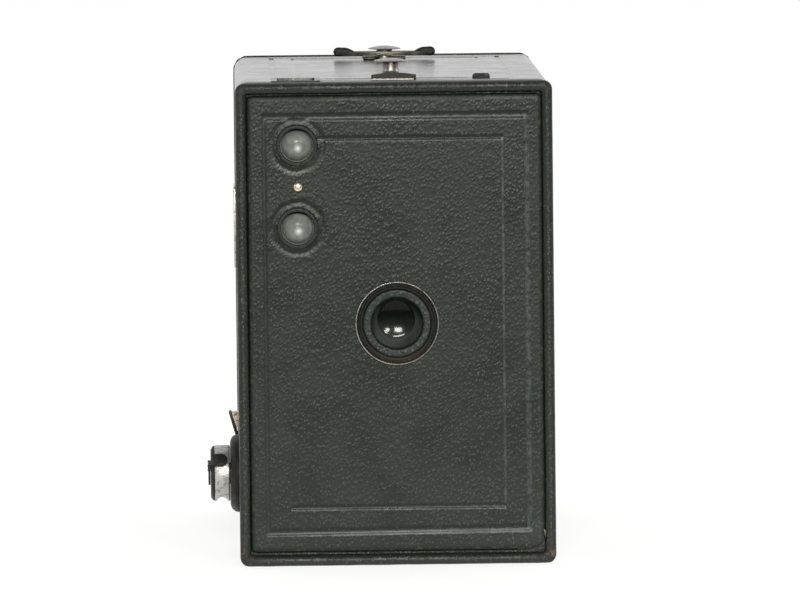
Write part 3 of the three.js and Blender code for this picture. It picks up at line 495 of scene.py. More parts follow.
TARNISHED = nickel("tarnished_steel", (0.075, 0.070, 0.060), (0.025, 0.022, 0.018), (0.35, 0.55))
KEY_NICKEL = nickel("key_nickel", (0.52, 0.515, 0.49), (0.10, 0.095, 0.080), (0.34, 0.52), (0.25, 1.6, 1.6))
CREAM_METAL = nickel("cream_metal", (0.66, 0.62, 0.54), (0.25, 0.21, 0.15), (0.3, 0.5))
BRASS = worn_brass("polished_brass", (0.90, 0.74, 0.52), (0.50, 0.36, 0.20), (0.25, 0.4))
STEEL = steel("plain_steel")
WOOD = board("carrier_wood")
CLOUDED = clouded_glass("clouded_glass")
LENS = lens_glass("lens_glass")
CELLULOID = celluloid("red_celluloid")
FIBRE = torn_fibre("torn_fibre", (0.10, 0.06, 0.035), (0.62, 0.50, 0.38))
# Pale as painted reflection of the bright top in front of the stop tab.
PALE_FIBRE_PAINTED_REFLECTION = torn_fibre("pale_fibre_painted_reflection", (0.55, 0.49, 0.44), (0.85, 0.80, 0.76))

SLOT_MATERIALS = {
    "leatherette": BOX_LEATHER,
    "black_metal": BLACK_METAL,
    "worn_nickel": NICKEL,
    "worn_rim": RIM_METAL,
    "brass": BRASS,
    "steel": STEEL,
    "wood": WOOD,
    "black_card": card("black_card"),
    "finder_glass": ground_glass("ground_glass"),
    "lens_glass": LENS,
    "mirror": silvered("silvered_glass"),
    "red_celluloid": CELLULOID,
}


# ---------------------------------------------------------------- meshes
def body_of(node):
    bodies = frame["record"]["behaviour"]["bodies"]
    return next(body for body, nodes in bodies.items() if node in nodes)


def finish_piece(obj, material, slot, node=None, body=None):
    """Material, body and the CAD node that the piece stands for. The slot argument is not used."""
    obj.data.materials.clear()
    obj.data.materials.append(material)
    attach(obj, body or body_of(node))
    if node:
        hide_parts(node)


def shade(obj, angle):
    obj.data.shade_smooth()
    chosen = {
        "object": obj,
        "active_object": obj,
        "selected_objects": [obj],
        "selected_editable_objects": [obj],
    }
    with bpy.context.temp_override(**chosen):
        bpy.ops.object.shade_smooth_by_angle(angle=math.radians(angle))


def mesh_object(name, points, faces, smooth_angle=40):
    """A mesh from points in millimetres, welded, with its normals outwards."""
    bm = bmesh.new()
    verts = [bm.verts.new(Vector(p) * MM) for p in points]
    for face in faces:
        bm.faces.new([verts[i] for i in face])
    bmesh.ops.remove_doubles(bm, verts=bm.verts, dist=1e-6)
    bmesh.ops.recalc_face_normals(bm, faces=bm.faces)
    mesh = bpy.data.meshes.new(name)
    bm.to_mesh(mesh)
    bm.free()
    obj = bpy.data.objects.new(name, mesh)
    bpy.context.scene.collection.objects.link(obj)
    shade(obj, smooth_angle)
    return obj


def apply_modifiers(obj):
    graph = bpy.context.evaluated_depsgraph_get()
    mesh = bpy.data.meshes.new_from_object(obj.evaluated_get(graph))
    obj.modifiers.clear()
    old, obj.data = obj.data, mesh
    bpy.data.meshes.remove(old)


def cut(obj, tools, angle=40):
    for tool in tools:
        modifier = obj.modifiers.new("cut", "BOOLEAN")
        modifier.operation, modifier.solver, modifier.object = "DIFFERENCE", "EXACT", tool
    apply_modifiers(obj)
    for tool in tools:
        bpy.data.objects.remove(tool)
    shade(obj, angle)


def from_node(node, width):
    """The CAD node's shape with every sharp edge rounded, by width millimetres."""
    source = frame["nodes"][node]
    obj = bpy.data.objects.new(node + "_shaped", source.data.copy())
    bpy.context.scene.collection.objects.link(obj)
    bm = bmesh.new()
    bm.from_mesh(obj.data)
    bmesh.ops.remove_doubles(bm, verts=bm.verts, dist=2e-6)
    bmesh.ops.dissolve_limit(bm, angle_limit=math.radians(0.5), verts=bm.verts, edges=bm.edges)
    bm.to_mesh(obj.data)
    bm.free()
    modifier = obj.modifiers.new("rounded", "BEVEL")
    modifier.width, modifier.segments = width * MM, 2
    modifier.limit_method, modifier.angle_limit = "ANGLE", math.radians(28)
    apply_modifiers(obj)
    shade(obj, 45)
    return obj


AXIS_TURN = {
    "x": Matrix(((0, 0, 1), (1, 0, 0), (0, 1, 0))),
    "-x": Matrix(((0, 0, -1), (-1, 0, 0), (0, 1, 0))),
    "y": Matrix(((1, 0, 0), (0, 0, 1), (0, -1, 0))),
    "-y": Matrix(((1, 0, 0), (0, 0, -1), (0, 1, 0))),
    "z": Matrix.Identity(3),
    "-z": Matrix(((1, 0, 0), (0, -1, 0), (0, 0, -1))),
}


def softened(profile, radius):
    """The closed profile with each corner replaced by two points, radius before and after it."""
    out = []
    for i, point in enumerate(profile):
        at = Vector(point)
        for other in (profile[i - 1], profile[(i + 1) % len(profile)]):
            gap = Vector(other) - at
            out.append(tuple(at + gap.normalized() * min(radius, gap.length * 0.33)))
    return out


def lathe(name, profile, axis, at, segments=72, soft=0.0, angle=50):
    """A turned piece. Profile points are (radius, distance along the axis).

    A profile that starts at radius 0 also ends there. Any other is closed, and soft rounds its corners.
    """
    closed = profile[0][0] > 0
    if soft:
        profile = softened(profile, soft)
    turn, at = AXIS_TURN[axis], Vector(at)
    points, faces = [], []
    for radius, along in profile:
        for k in range(segments):
            a = 2 * math.pi * k / segments
            points.append(at + turn @ Vector((radius * math.cos(a), radius * math.sin(a), along)))
    rings = len(profile)
    for i in range(rings if closed else rings - 1):
        j = (i + 1) % rings
        for k in range(segments):
            n = (k + 1) % segments
            faces.append((i * segments + k, i * segments + n, j * segments + n, j * segments + k))
    return mesh_object(name, points, faces, angle)


def plug(name, radius, ends, axis, at, segments):
    """The cutter of a round hole; ends are its two places along the axis."""
    low, high = ends
    return lathe(name, [(0, low), (radius, low), (radius, high), (0, high)], axis, at, segments)


def stepped_plug(name, wide, deep, axis, at, segments):
    """The cutter of a round hole with a wider mouth; wide and deep are (radius, end) of its two parts."""
    profile = [(0, -1), (wide[0], -1), wide, (deep[0], wide[1]), deep, (0, deep[1])]
    return lathe(name, profile, axis, at, segments)


def block(name, x, y, z):
    corners = [(a, b, c) for a in x for b in y for c in z]
    faces = [(0, 1, 3, 2), (4, 6, 7, 5), (0, 4, 5, 1), (2, 3, 7, 6), (0, 2, 6, 4), (1, 5, 7, 3)]
    return mesh_object(name, corners, faces)


def about(middle, half):
    return middle - half, middle + half


def rounded_ring(x, z, radius, y, counts):
    """Points round a rounded rectangle. counts is how many steps each x side, z side and corner has."""
    (x0, x1), (z0, z1) = x, z
    per_x, per_z, per_corner = counts
    corners = [
        (x1 - radius, z0 + radius, -90),
        (x1 - radius, z1 - radius, 0),
        (x0 + radius, z1 - radius, 90),
        (x0 + radius, z0 + radius, 180),
    ]
    points = []
    for i, (cx, cz, start) in enumerate(corners):
        for k in range(per_corner + 1):
            a = math.radians(start + 90 * k / per_corner)
            points.append((cx + radius * math.cos(a), cz + radius * math.sin(a)))
        nx, nz, begin = corners[(i + 1) % 4]
        a = math.radians(begin)
        end = (nx + radius * math.cos(a), nz + radius * math.sin(a))
        steps = per_z if i % 2 == 0 else per_x
        last = points[-1]
        for k in range(1, steps):
            t = k / steps
            points.append((last[0] + (end[0] - last[0]) * t, last[1] + (end[1] - last[1]) * t))
    return [(px, y, pz) for px, pz in points]


def rings_object(name, rings, angle=40):
    """A closed surface through rings of the same number of points, the last joined to the first."""
    count = len(rings[0])
    points = [p for ring in rings for p in ring]
    faces = []
    for i in range(len(rings)):
        j = (i + 1) % len(rings)
        for k in range(count):
            n = (k + 1) % count
            faces.append((i * count + k, i * count + n, j * count + n, j * count + k))
    return mesh_object(name, points, faces, angle)


def sheet(xs, zs, place):
    """A grid of faces over xs and zs: its points, its faces and the numbers of the points round its edge."""
    columns, rows = len(xs), len(zs)
    points = [place(x, z) for z in zs for x in xs]
    faces = []
    for j in range(rows - 1):
        for i in range(columns - 1):
            a = j * columns + i
            faces.append((a, a + 1, a + columns + 1, a + columns))
    loop = list(range(columns))
    loop += [j * columns + columns - 1 for j in range(1, rows)]
    loop += [(rows - 1) * columns + i for i in range(columns - 2, -1, -1)]
    loop += [j * columns for j in range(rows - 2, 0, -1)]
    return points, faces, loop


def close_back(points, faces, loop, rings):
    """Joins rings of points to the sheet's edge, one behind another, and closes the last one."""
    previous = loop
    for ring in rings:
        current = list(range(len(points), len(points) + len(ring)))
        points += ring
        for k in range(len(loop)):
            n = (k + 1) % len(loop)
            faces.append((previous[k], previous[n], current[n], current[k]))
        previous = current
    faces.append(tuple(previous))


def fringe(name, triples, material):
    """A thin strip of torn fibres: triples are its three-cornered sections."""
    points = [p for triple in triples for p in triple]
    last = len(points) - 3
    faces = []
    for a in range(0, last, 3):
        for i in range(3):
            j = (i + 1) % 3
            faces.append((a + i, a + j, a + 3 + j, a + 3 + i))
    faces += [(0, 1, 2), (last + 2, last + 1, last)]
    finish_piece(mesh_object(name, points, faces, 20), material, "leatherette", body="camera_body")


def paint(obj, name, value):
    """Stores value(point in millimetres) on every vertex of the mesh."""
    attribute = obj.data.attributes.new(name, "FLOAT", "POINT")
    for vertex, item in zip(obj.data.vertices, attribute.data):
        item.value = value(vertex.co / MM)


def push(obj, amount):
    """Moves every vertex along its normal by amount(point), in millimetres."""
    mesh = obj.data
    moved = [v.co + v.normal * (amount(v.co / MM) * MM) for v in mesh.vertices]
    for vertex, place in zip(mesh.vertices, moved):
        vertex.co = place
    mesh.update()


def wavy(point, scale, amount, seed=0.0):
    return amount * noise.noise(Vector(point) * scale + Vector((seed, 2.3 * seed, 0)))


def wobble(x, y):
    """Uneven between -1 and 1 along x, differently for each y."""
    return noise.noise(Vector((x, y, 0)))


# ---------------------------------------------------------------- tooled lines
# A tooled line is (distance from the rectangle's edge, width, depth).
TOOLED_SIDE = [(10.6, 1.0, 0.22), (16.6, 0.45, 0.16)]
DOOR_LINES = [(10.6, 1.0, 0.24), (16.6, 0.45, 0.16)]


def grid_places(start, end, lines, step, slope=0.22):
    """Grid positions: on both sides of every (middle, width) line with its slopes, and at most step apart."""
    marks = {start, end}
    for middle, width in lines:
        for offset in (-width / 2 - slope, -width / 2, width / 2, width / 2 + slope):
            marks.add(middle + offset)
    marks = sorted(m for m in marks if start <= m <= end)
    out = []
    for a, b in zip(marks, marks[1:]):
        parts = max(1, math.ceil((b - a) / step))
        out += [a + (b - a) * k / parts for k in range(parts)]
    return out + [end]


def both_ends(length, lines, inset=0.0):
    """(middle, width) of the tooled lines near both ends of a face. Its grid starts inset inside its edge."""
    return [(at, w) for d, w, _ in lines for at in (d - inset, length - (d - inset))]


def tooled_depth(s, t, length_s, length_t, lines):
    """How far the surface is pressed in at (s, t) on a face of the given size, 0 beside the lines."""
    inset = min(s, length_s - s, t, length_t - t)
    for distance, width, depth in lines:
        if abs(inset - distance) <= width / 2 + 1e-6:
            return depth
    return 0.0


# ---------------------------------------------------------------- box and rim
def sleeve_section():
    """Places round the sleeve: the bottom, right, top and left faces, each followed by a rounded corner.

    A place is (x, z), the way outwards, how far it is along its face, the face's length and whether
    it is tooled.
    """
    left, right, top = CORNER - HALF, HALF - CORNER, HEIGHT - CORNER
    faces = [
        (right - left, lambda s: (left + s, 0.0), (0, -1), (right, CORNER)),
        (top - CORNER, lambda s: (HALF, CORNER + s), (1, 0), (right, top)),
        (right - left, lambda s: (right - s, HEIGHT), (0, 1), (left, top)),
        (top - CORNER, lambda s: (-HALF, top - s), (-1, 0), (left, CORNER)),
    ]
    places = []
    for i, (length, place, outwards, (cx, cz)) in enumerate(faces):
        for s in grid_places(0.0, length, both_ends(length, TOOLED_SIDE, CORNER), 4.0):
            places.append((place(s), outwards, s + CORNER, length + 2 * CORNER, i != 0))
        for k in range(1, 6):
            a = math.radians(-90 + 90 * i + 15 * k)
            out = (math.cos(a), math.sin(a))
            places.append(((cx + CORNER * out[0], cz + CORNER * out[1]), out, 0.0, 1.0, False))
    return places


def box_cutters():
    """Slots, windows and holes of the box, a little larger than what sits in them."""
    through_top, through_side = (127, 133), (-44, -39)
    return [
        block("cut_stop", about(LENS_X, 6.3), about(STOP_SLIDE_Y, 0.45), through_top),
        block("cut_time", (21.7, 26.9), about(TIME_SLIDE_Y, 0.45), through_top),
        block("cut_window_top", about(FINDER_X, 6.3), about(FINDER_Y, 7.7), through_top),
        block("cut_window_side", through_side, about(FINDER_Y, 6.3), (81.75, 102.45)),
        block("cut_lever", through_side, (-56.9, -55.5), (35.4, 48.3)),
        plug("cut_key", 3.2, (39, 44), "-x", (0, KEY_Y, KEY_Z), 48),
        stepped_plug("cut_bush_bottom", (8.2, 1.05), (5.1, 4), "z", (0, BUSH_Y, 0), 48),
        stepped_plug("cut_bush_side", (8.2, 1.05), (5.1, 4), "-x", (HALF, BUSH_Y, LENS_Z), 48),
        block("cut_hinge", (-30.3, 30.3), (59.7, 73.4), (-1, 0.8)),
    ]


def outer_box():
    """The covered sleeve."""
    length_y = BOX_BACK - BOX_FRONT
    front_edge, back_edge = 1.9, 0.4
    places = sleeve_section()
    rings = []
    for t in grid_places(0.0, length_y, both_ends(length_y, TOOLED_SIDE), 4.0):
        ring = []
        for (x, z), out, s, length, tooled in places:
            depth = tooled_depth(s, t, length, length_y, TOOLED_SIDE) if tooled else 0.0
            depth += 0.03 * abs(noise.noise(Vector((x, t, z)) * 0.04)) if tooled else 0.0
            ring.append((x - out[0] * depth, BOX_FRONT + t, z - out[1] * depth))
        rings.append(ring)

    def shrunk(ring, by, y):
        return [(x - place[1][0] * by, y, z - place[1][1] * by) for (x, _, z), place in zip(ring, places)]

    first, last = rings[0], rings[-1]
    rings[0] = shrunk(first, 0, BOX_FRONT + front_edge)
    rings[-1] = shrunk(last, 0, BOX_BACK - back_edge)
    front = [
        shrunk(first, 0.75 * front_edge * (1 - math.cos(a)), BOX_FRONT + front_edge * (1 - math.sin(a)))
        for a in map(math.radians, (90, 72, 56, 42, 28, 14))
    ]
    back = [
        shrunk(last, back_edge * (1 - math.cos(a)), BOX_BACK - back_edge * (1 - math.sin(a)))
        for a in map(math.radians, (30, 60, 90))
    ]
    inside = [
        [(min(max(x, -INNER), INNER), y, min(max(z, INNER_BOTTOM), INNER_TOP)) for (x, z), *_ in places]
        for y in (BOX_BACK, BOX_FRONT)
    ]
    box = rings_object("box", front + rings + back + inside)
    cut(box, box_cutters())

    def tooling(p):
        if p.z > HEIGHT - 0.6:
            s, length = p.x + HALF, 2 * HALF
        elif abs(p.x) > HALF - 0.6:
            s, length = p.z, HEIGHT
        else:
            return 0.0
        return 1.0 if tooled_depth(s, p.y - BOX_FRONT, length, length_y, TOOLED_SIDE) else 0.0

    def rubbed(p):
        """Towards the front edge, and along the lower long edges."""
        corner = max(0.0, 1 - max(HALF - abs(p.x), min(HEIGHT - p.z, p.z)) / 3.0)
        end = max(0.0, 1 - (p.y - BOX_FRONT) / (11.0 if p.z > HEIGHT - 2 else 2.6))
        return max(0.5 * corner if p.z < 100 else 0.0, end)

    paint(box, "tooling", tooling)
    paint(box, "edge", rubbed)
    paint(box, "faded", lambda p: 1.0 if p.z > HEIGHT - 1 else 0.12)
    finish_piece(box, BOX_LEATHER, "leatherette", "outer_box")


def front_rim():
    """The padded half-round rim, a little uneven from hand work, and the ledge behind the panel's edge."""
    half_width, middle_y = RIM / 2, FRONT + RIM / 2
    width = 2.9
    profile = [(0.5, BOX_FRONT), (0.12, BOX_FRONT - 0.5), (0.0, BOX_FRONT - 1.2)]
    for k in range(1, 16):
        a = math.radians(180 * k / 16)
        profile.append((width / 2 * (1 - math.cos(a)), middle_y - half_width * math.sin(a)))
    profile += [(width, middle_y + 0.5), (width + 0.2, -73.7), (9.0, -73.6), (9.0, BOX_FRONT)]
    rings = []
    for inset, y in profile:
        x, z = (-HALF + inset, HALF - inset), (inset, HEIGHT - inset)
        rings.append(rounded_ring(x, z, max(2.4 - inset, 0.5), y, (30, 46, 6)))
    rim = rings_object("rim", rings, 60)
    push(rim, lambda p: min(0.0, wavy(p, 0.16, 0.08) + wavy(p, 0.7, 0.05, 3) - 0.04) if p.y < -74.1 else 0.0)

    def rubbed(p):
        near_side, near_end = HALF - abs(p.x), min(p.z, HEIGHT - p.z)
        corner = max(0.0, 1 - math.hypot(max(near_side - 2, 0), max(near_end - 2, 0)) / 7)
        low = 1.0 if p.z < HEIGHT / 2 else 0.4
        outer = max(0.0, 1 - min(near_side, near_end) / 0.7)
        return max(0.95 * corner * low, 0.5 * outer)

    paint(rim, "edge", rubbed)
    finish_piece(rim, BEAD_LEATHER, "leatherette", "front_frame")


# ---------------------------------------------------------------- front panel
# Rectangles pressed into the panel: x range, z range, width, depth.
PANEL_LINES = [((-35.3, 35.8), (9.2, 122.3), 1.2, 0.16), ((-28.8, 29.3), (15.9, 116.3), 0.45, 0.18)]
WRINKLE_RADIUS, WRINKLE_WIDTH = 6.9, 0.55
TORN_X, TORN_Z = 8.6, 4.6  # how far the torn corner reaches along the panel's edges


def outside(line, x, z):
    """How far a place is outside a pressed rectangle, below 0 inside it."""
    (x0, x1), (z0, z1), _, _ = line
    return max(x0 - x, x - x1, z0 - z, z - z1)


def panel_line(x, z):
    """Depth of the pressed line at a place on the panel, 0 where there is none."""
    for line in PANEL_LINES:
        _, _, width, depth = line
        if abs(outside(line, x, z)) <= width / 2:
            return depth
    return 0.0


def settled(point):
    """Lifts the lower pressed line towards the right and rounds off the torn lower right corner."""
    x, y, z = point
    low_line = PANEL_LINES[0][1][0]
    near = max(0.0, 1 - abs(z - low_line) / 4.5)
    z += 0.85 * near * (x - PANEL_X[0]) / (PANEL_X[1] - PANEL_X[0])
    u = (x - (PANEL_X[1] - TORN_X)) / TORN_X
    v = (PANEL_Z[0] + TORN_Z - z) / TORN_Z
    if u > 0 and v > 0 and math.hypot(u, v) > 1:
        length = math.hypot(u, v)
        x = PANEL_X[1] - TORN_X + TORN_X * u / length
        z = PANEL_Z[0] + TORN_Z - TORN_Z * v / length
    return x, y, z


def panel_mesh():
    """The covered board, with its pressed lines, a wrinkled ring round each finder and a lifted corner."""
    edge = 1.3
    x0, x1 = PANEL_X[0] + edge, PANEL_X[1] - edge
    z0, z1 = PANEL_Z[0] + edge, PANEL_Z[1] - edge
    xs = grid_places(x0, x1, [(x, w) for pair, _, w, _ in PANEL_LINES for x in pair], 0.6, 0.2)
    zs = grid_places(z0, z1, [(z, w) for _, pair, w, _ in PANEL_LINES for z in pair], 0.6, 0.2)

    def relief(x, z):
        depth = panel_line(x, z)
        for finder_z in FINDER_ZS.values():
            gap = abs(math.hypot(x - FINDER_X, z - finder_z) - WRINKLE_RADIUS - wavy((x, 0, z), 0.35, 0.35))
            depth = max(depth, 0.32 * max(0.0, 1 - gap / WRINKLE_WIDTH))
        depth += 0.05 + wavy((x, 0, z), 0.05, 0.05) + wavy((x, 5, z), 0.8, 0.035)
        lift = max(0.0, 1 - math.hypot(x - x1, (z - z0) * 0.9) / 7.5)
        return depth - 0.35 * lift * lift

    points, faces, loop = sheet(xs, zs, lambda x, z: (x, PANEL_FACE + relief(x, z), z))
    rings = []
    for degrees, back in ((30, None), (60, None), (90, None), (90, PANEL_BACK)):
        a = math.radians(degrees)
        ring = []
        for x, y, z in (points[index] for index in loop):
            out_x = (x == x1) - (x == x0)
            out_z = (z == z1) - (z == z0)
            grow = edge * math.sin(a) / math.hypot(out_x, out_z)
            ring.append((x + out_x * grow, back or y + 0.75 * edge * (1 - math.cos(a)), z + out_z * grow))
        rings.append(ring)
    close_back(points, faces, loop, rings)
    return mesh_object("panel", [settled(point) for point in points], faces, 60)


def front_panel():
    panel = panel_mesh()
    tools = [stepped_plug("cut_lens", (10.35, 0.95), (8.6, 5), "y", (LENS_X, PANEL_FACE, LENS_Z), 96)]
    for side, z in FINDER_ZS.items():
        tools.append(plug("cut_" + side, 5.7, (-1, 5), "y", (FINDER_X, PANEL_FACE, z), 64))
    tools.append(plug("cut_pin", 0.7, (-1, 5), "y", (PIN_X, PANEL_FACE, PIN_Z), 24))
    cut(panel, tools, 60)

    def tooling(p):
        """Full in the lines, half in the wrinkles, and slight in the smoother band outside the lines."""
        if p.y > PANEL_FACE + 0.6:
            return 0.0
        ring = min(abs(math.hypot(p.x - FINDER_X, p.z - z) - WRINKLE_RADIUS) for z in FINDER_ZS.values())
        band = 0.30 if outside(PANEL_LINES[0], p.x, p.z) > 0.6 else 0.0
        return max(1.0 if panel_line(p.x, p.z) else band, 0.5 if ring < 0.5 else 0.0)

    def rubbed(p):
        gap = min(p.x - PANEL_X[0], PANEL_X[1] - p.x, p.z - PANEL_Z[0], PANEL_Z[1] - p.z)
        corner = max(0.0, 1 - math.hypot(p.x - PANEL_X[1], p.z - PANEL_Z[0] - 2) / 6)
        finder = max(0.0, 1 - math.hypot(p.x - FINDER_X - 3.5, p.z - FINDER_ZS["upper"] + 4.5) / 3.2)
        return max(0.9 * max(0.0, 1 - abs(gap - 0.9) / 0.7), corner, 0.8 * finder)

    def scuffed(p):
        """Rubbed patches, where the painted glints are brighter: under the inner line, along the top and by
        the torn corner.
        """
        spots = ((5, 111.5, 9, 2.2), (4, 125, 14, 1.6), (33, 12, 12, 8), (33, 4.5, 4, 2))
        return min(1.0, sum(max(0.0, 1 - math.hypot((p.x - x) / w, (p.z - z) / h)) for x, z, w, h in spots))

    def faded(p):
        """The pressed lines are rubbed pale towards the top right."""
        return max(0.15, min(1.0, 0.42 + 0.011 * p.x + 0.0035 * (p.z - 60)))

    for name, value in (("tooling", tooling), ("edge", rubbed), ("faded", faded), ("scuff_and_glint", scuffed)):
        paint(panel, name, value)
    finish_piece(panel, PANEL_LEATHER, "leatherette", "front_panel")


def torn_corner():
    """Frayed board fibres where the covering has come off the panel's lower right corner."""
    triples = []
    count = 60
    for k in range(count):
        a = math.radians(-84 + 96 * k / (count - 1))
        out_x, out_z = math.cos(a), math.sin(a)
        x = PANEL_X[1] - TORN_X + (TORN_X - 0.1) * out_x
        z = PANEL_Z[0] + TORN_Z + (TORN_Z - 0.1) * out_z
        grown = 0.15 + 0.85 * min(1.0, k / count * 1.3)
        jag = grown * (0.25 + 0.75 * abs(wobble(k * 0.83, 4.1)))
        lift = grown * (0.10 + 0.35 * abs(wobble(k * 0.61, 9.7)))
        inner = (x - out_x * 0.9 * jag, PANEL_FACE + 0.28 - lift, z - out_z * 0.9 * jag)
        outer = (x + out_x * 0.35 * jag, PANEL_FACE + 0.62 - 0.4 * lift, z + out_z * 0.35 * jag)
        triples.append((inner, outer, (x - out_x * 0.2, PANEL_FACE + 1.3, z - out_z * 0.2)))
    fringe("torn_corner", triples, FIBRE)


def worn_slot():
    """The covering's torn edge in front of the stop tab, as fibres coloured pale: painted reflection of the
    bright top seen there.
    """
    triples = []
    count = 48
    for k in range(count):
        x = LENS_X - 6.0 + 11.4 * k / (count - 1)
        high = 0.22 + 0.42 * abs(wobble(k * 0.47, 2.2))
        lean = 0.25 * wobble(k * 0.9, 7.7)
        tip = (x, -62.85 + lean * 0.3, HEIGHT + high)
        triples.append(((x, -62.75, HEIGHT - 0.1), tip, (x, -63.15, HEIGHT - 0.1)))
    fringe("worn_slot_fibres", triples, PALE_FIBRE_PAINTED_REFLECTION)


# ---------------------------------------------------------------- lens and finders
def lens_bezel():
    bezel = [
        (9.3, -0.8), (9.3, -0.25), (9.6, -0.45), (10.0, -0.40), (10.5, -0.05), (10.9, 0.45), (11.08, 0.78),
        (11.18, 0.88), (11.30, 0.82), (11.42, 0.5), (11.45, 0.02), (11.0, -0.1), (10.2, -0.8),
    ]
    rim = lathe("lens_rim", bezel, "-y", (LENS_X, PANEL_FACE, LENS_Z), 128, 0.06)

    def bare_crest_painted_highlight(p):
        """Bare along the crest, brighter towards the upper left as a painted highlight."""
        dx, dz = p.x - LENS_X, p.z - LENS_Z
        crest = max(0.0, 1 - abs(math.hypot(dx, dz) - 11.17) / 0.2) if p.y < -75.9 else 0.0
        return min(1.0, 1.6 * crest) * (0.72 + 0.28 * (dz - dx) / 15.8)

    paint(rim, "bare", bare_crest_painted_highlight)
    # Painted shade and light: the bezel browner towards the bottom, the top of its inner band left dark as
    # painted shade.
    paint(rim, "dust", lambda p: max(0.0, (LENS_Z - 4 - p.z) / 8.0))
    finish_piece(rim, RIM_METAL, "worn_rim", "lens_bezel")


def lens_surround():
    surround = [
        (7.1, -5.4), (7.1, 0.05), (7.2, 0.28), (7.5, 0.45), (8.2, 0.40), (8.9, 0.45), (9.15, 0.25),
        (9.2, 0.0), (9.2, -0.9), (8.5, -0.9), (8.5, -5.4),
    ]
    ring = lathe("lens_ring", surround, "-y", (LENS_X, PANEL_FACE, LENS_Z), 128, 0.08)
    push(ring, lambda p: min(0.0, wavy(p, 0.9, 0.05) - 0.02) if p.y < PANEL_FACE + 0.4 else 0.0)

    def brown(p):
        """Two worn places on the inner edge, at the upper left and the upper right."""
        angle = math.degrees(math.atan2(p.z - LENS_Z, p.x - LENS_X))
        inner = max(0.0, 1 - abs(math.hypot(p.x - LENS_X, p.z - LENS_Z) - 7.5))
        if p.y >= -75.2:
            return 0.0
        return inner * max(max(0.0, 1 - abs(angle - place) / 16) for place in (117, 57))

    paint(ring, "edge", brown)
    # Rubbed all over the ring's face, which brightens its painted glints.
    paint(ring, "scuff_and_glint", lambda p: 0.5 + wavy((p.x, 0, p.z), 0.25, 0.5) if p.y < -75.3 else 0.0)
    finish_piece(ring, RING_LEATHER, "leatherette", "lens_surround")


def front_lens():
    glass = [(0, 1.7)] + [(0.5 * k, 1.7 - 0.75 * (0.1 * k) ** 2) for k in range(1, 11)]
    glass += [(6.4, 0.95), (6.4, 2.6), (4.6, 3.1), (2.4, 3.5), (0, 3.6)]
    lens = lathe("lens_element", glass, "y", (LENS_X, -60.95, LENS_Z), 96, angle=60)
    # Painted light: lighter towards the bottom of the lens.
    paint(lens, "painted_light_below", lambda p: max(0.0, min(1.0, (LENS_Z + 2.0 - p.z) / 6.5)) ** 1.4)
    finish_piece(lens, LENS, "lens_glass", "lens")


def finder_front(side, z):
    at = (FINDER_X, PANEL_FACE, z)
    lip = [
        (4.52, -0.5), (4.55, 0.0), (4.72, 0.18), (5.0, 0.22), (5.35, 0.12), (5.6, -0.06), (5.6, -2.7),
        (4.8, -2.7), (4.8, -1), (4.52, -0.9),
    ]
    eyelet = lathe("finder_lip_" + side, lip, "-y", at, 72, 0.05)
    push(eyelet, lambda p: min(0.0, wavy(p, 0.8, 0.06) - 0.02) if p.y < PANEL_FACE else 0.0)
    paint(eyelet, "edge", lambda p: 0.75 if p.x - FINDER_X - (p.z - z) > 3.0 else 0.25)
    finish_piece(eyelet, RING_LEATHER, "leatherette", "finder_eyelet_" + side)
    dome = [(0, -2.3), (4.7, -2.3), (4.7, -1.05)]
    for a in map(math.radians, range(80, 5, -5)):
        dome.append((4.5 * math.sin(a), -4.4 + 4.3 * math.cos(a * 0.82)))
    dome.append((0, -0.1))
    lens = lathe("finder_front_lens_" + side, dome, "-y", at, 72, angle=60)

    # Painted highlight: a bright spot a little below the lens's middle.
    def painted_highlight(p):
        return max(0.0, 1 - math.hypot(p.x - FINDER_X - 0.25, p.z - z + 0.75) / 1.5) ** 1.6

    def shaded(p):
        """Dark round the edge and under the top of the hole."""
        return max(0.0, min(1.0, (math.hypot(p.x - FINDER_X, p.z - z) - 3.9) / 0.6 + (p.z - z - 3.3) / 0.9))

    # The lens carries its painted highlight and, in its rim value, its painted shade.
    paint(lens, "painted_highlight", painted_highlight)
    paint(lens, "rim", shaded)
    finish_piece(lens, CLOUDED, "finder_glass", "finder_lens_" + side)


def panel_pin():
    pin = [
        (0, -2.4), (0.62, -2.4), (0.62, 0), (1.25, 0), (1.24, 0.2), (1.05, 0.42), (0.75, 0.6), (0.4, 0.68),
        (0, 0.7),
    ]
    head = lathe("brass_pin", pin, "-y", (PIN_X, PANEL_FACE, PIN_Z), 40, angle=60)
    finish_piece(head, BRASS, "brass", "panel_pin")


# ---------------------------------------------------------------- metal pieces
def studs():
    for side, (x, y) in STUDS.items():
        profile = [
            (0, -2.8), (1.55, -2.8), (1.55, 0.02), (2.5, 0.02), (2.35, 0.25), (2.25, 0.7), (2.2, 2.2),
            (2.3, 2.7), (4.55, 2.82), (4.7, 2.92), (4.62, 3.06), (4.0, 3.28), (3.0, 3.52), (1.8, 3.70),
            (0.8, 3.79), (0, 3.8),
        ]
        if side == "rear":
            profile = [(min(r, 2.25) if h < 2.75 else r, h) for r, h in profile]
        stud = lathe("strap_stud_" + side + "_turned", profile, "z", (x, y, HEIGHT), 64)
        finish_piece(stud, NICKEL, "worn_nickel", "strap_stud_" + side)


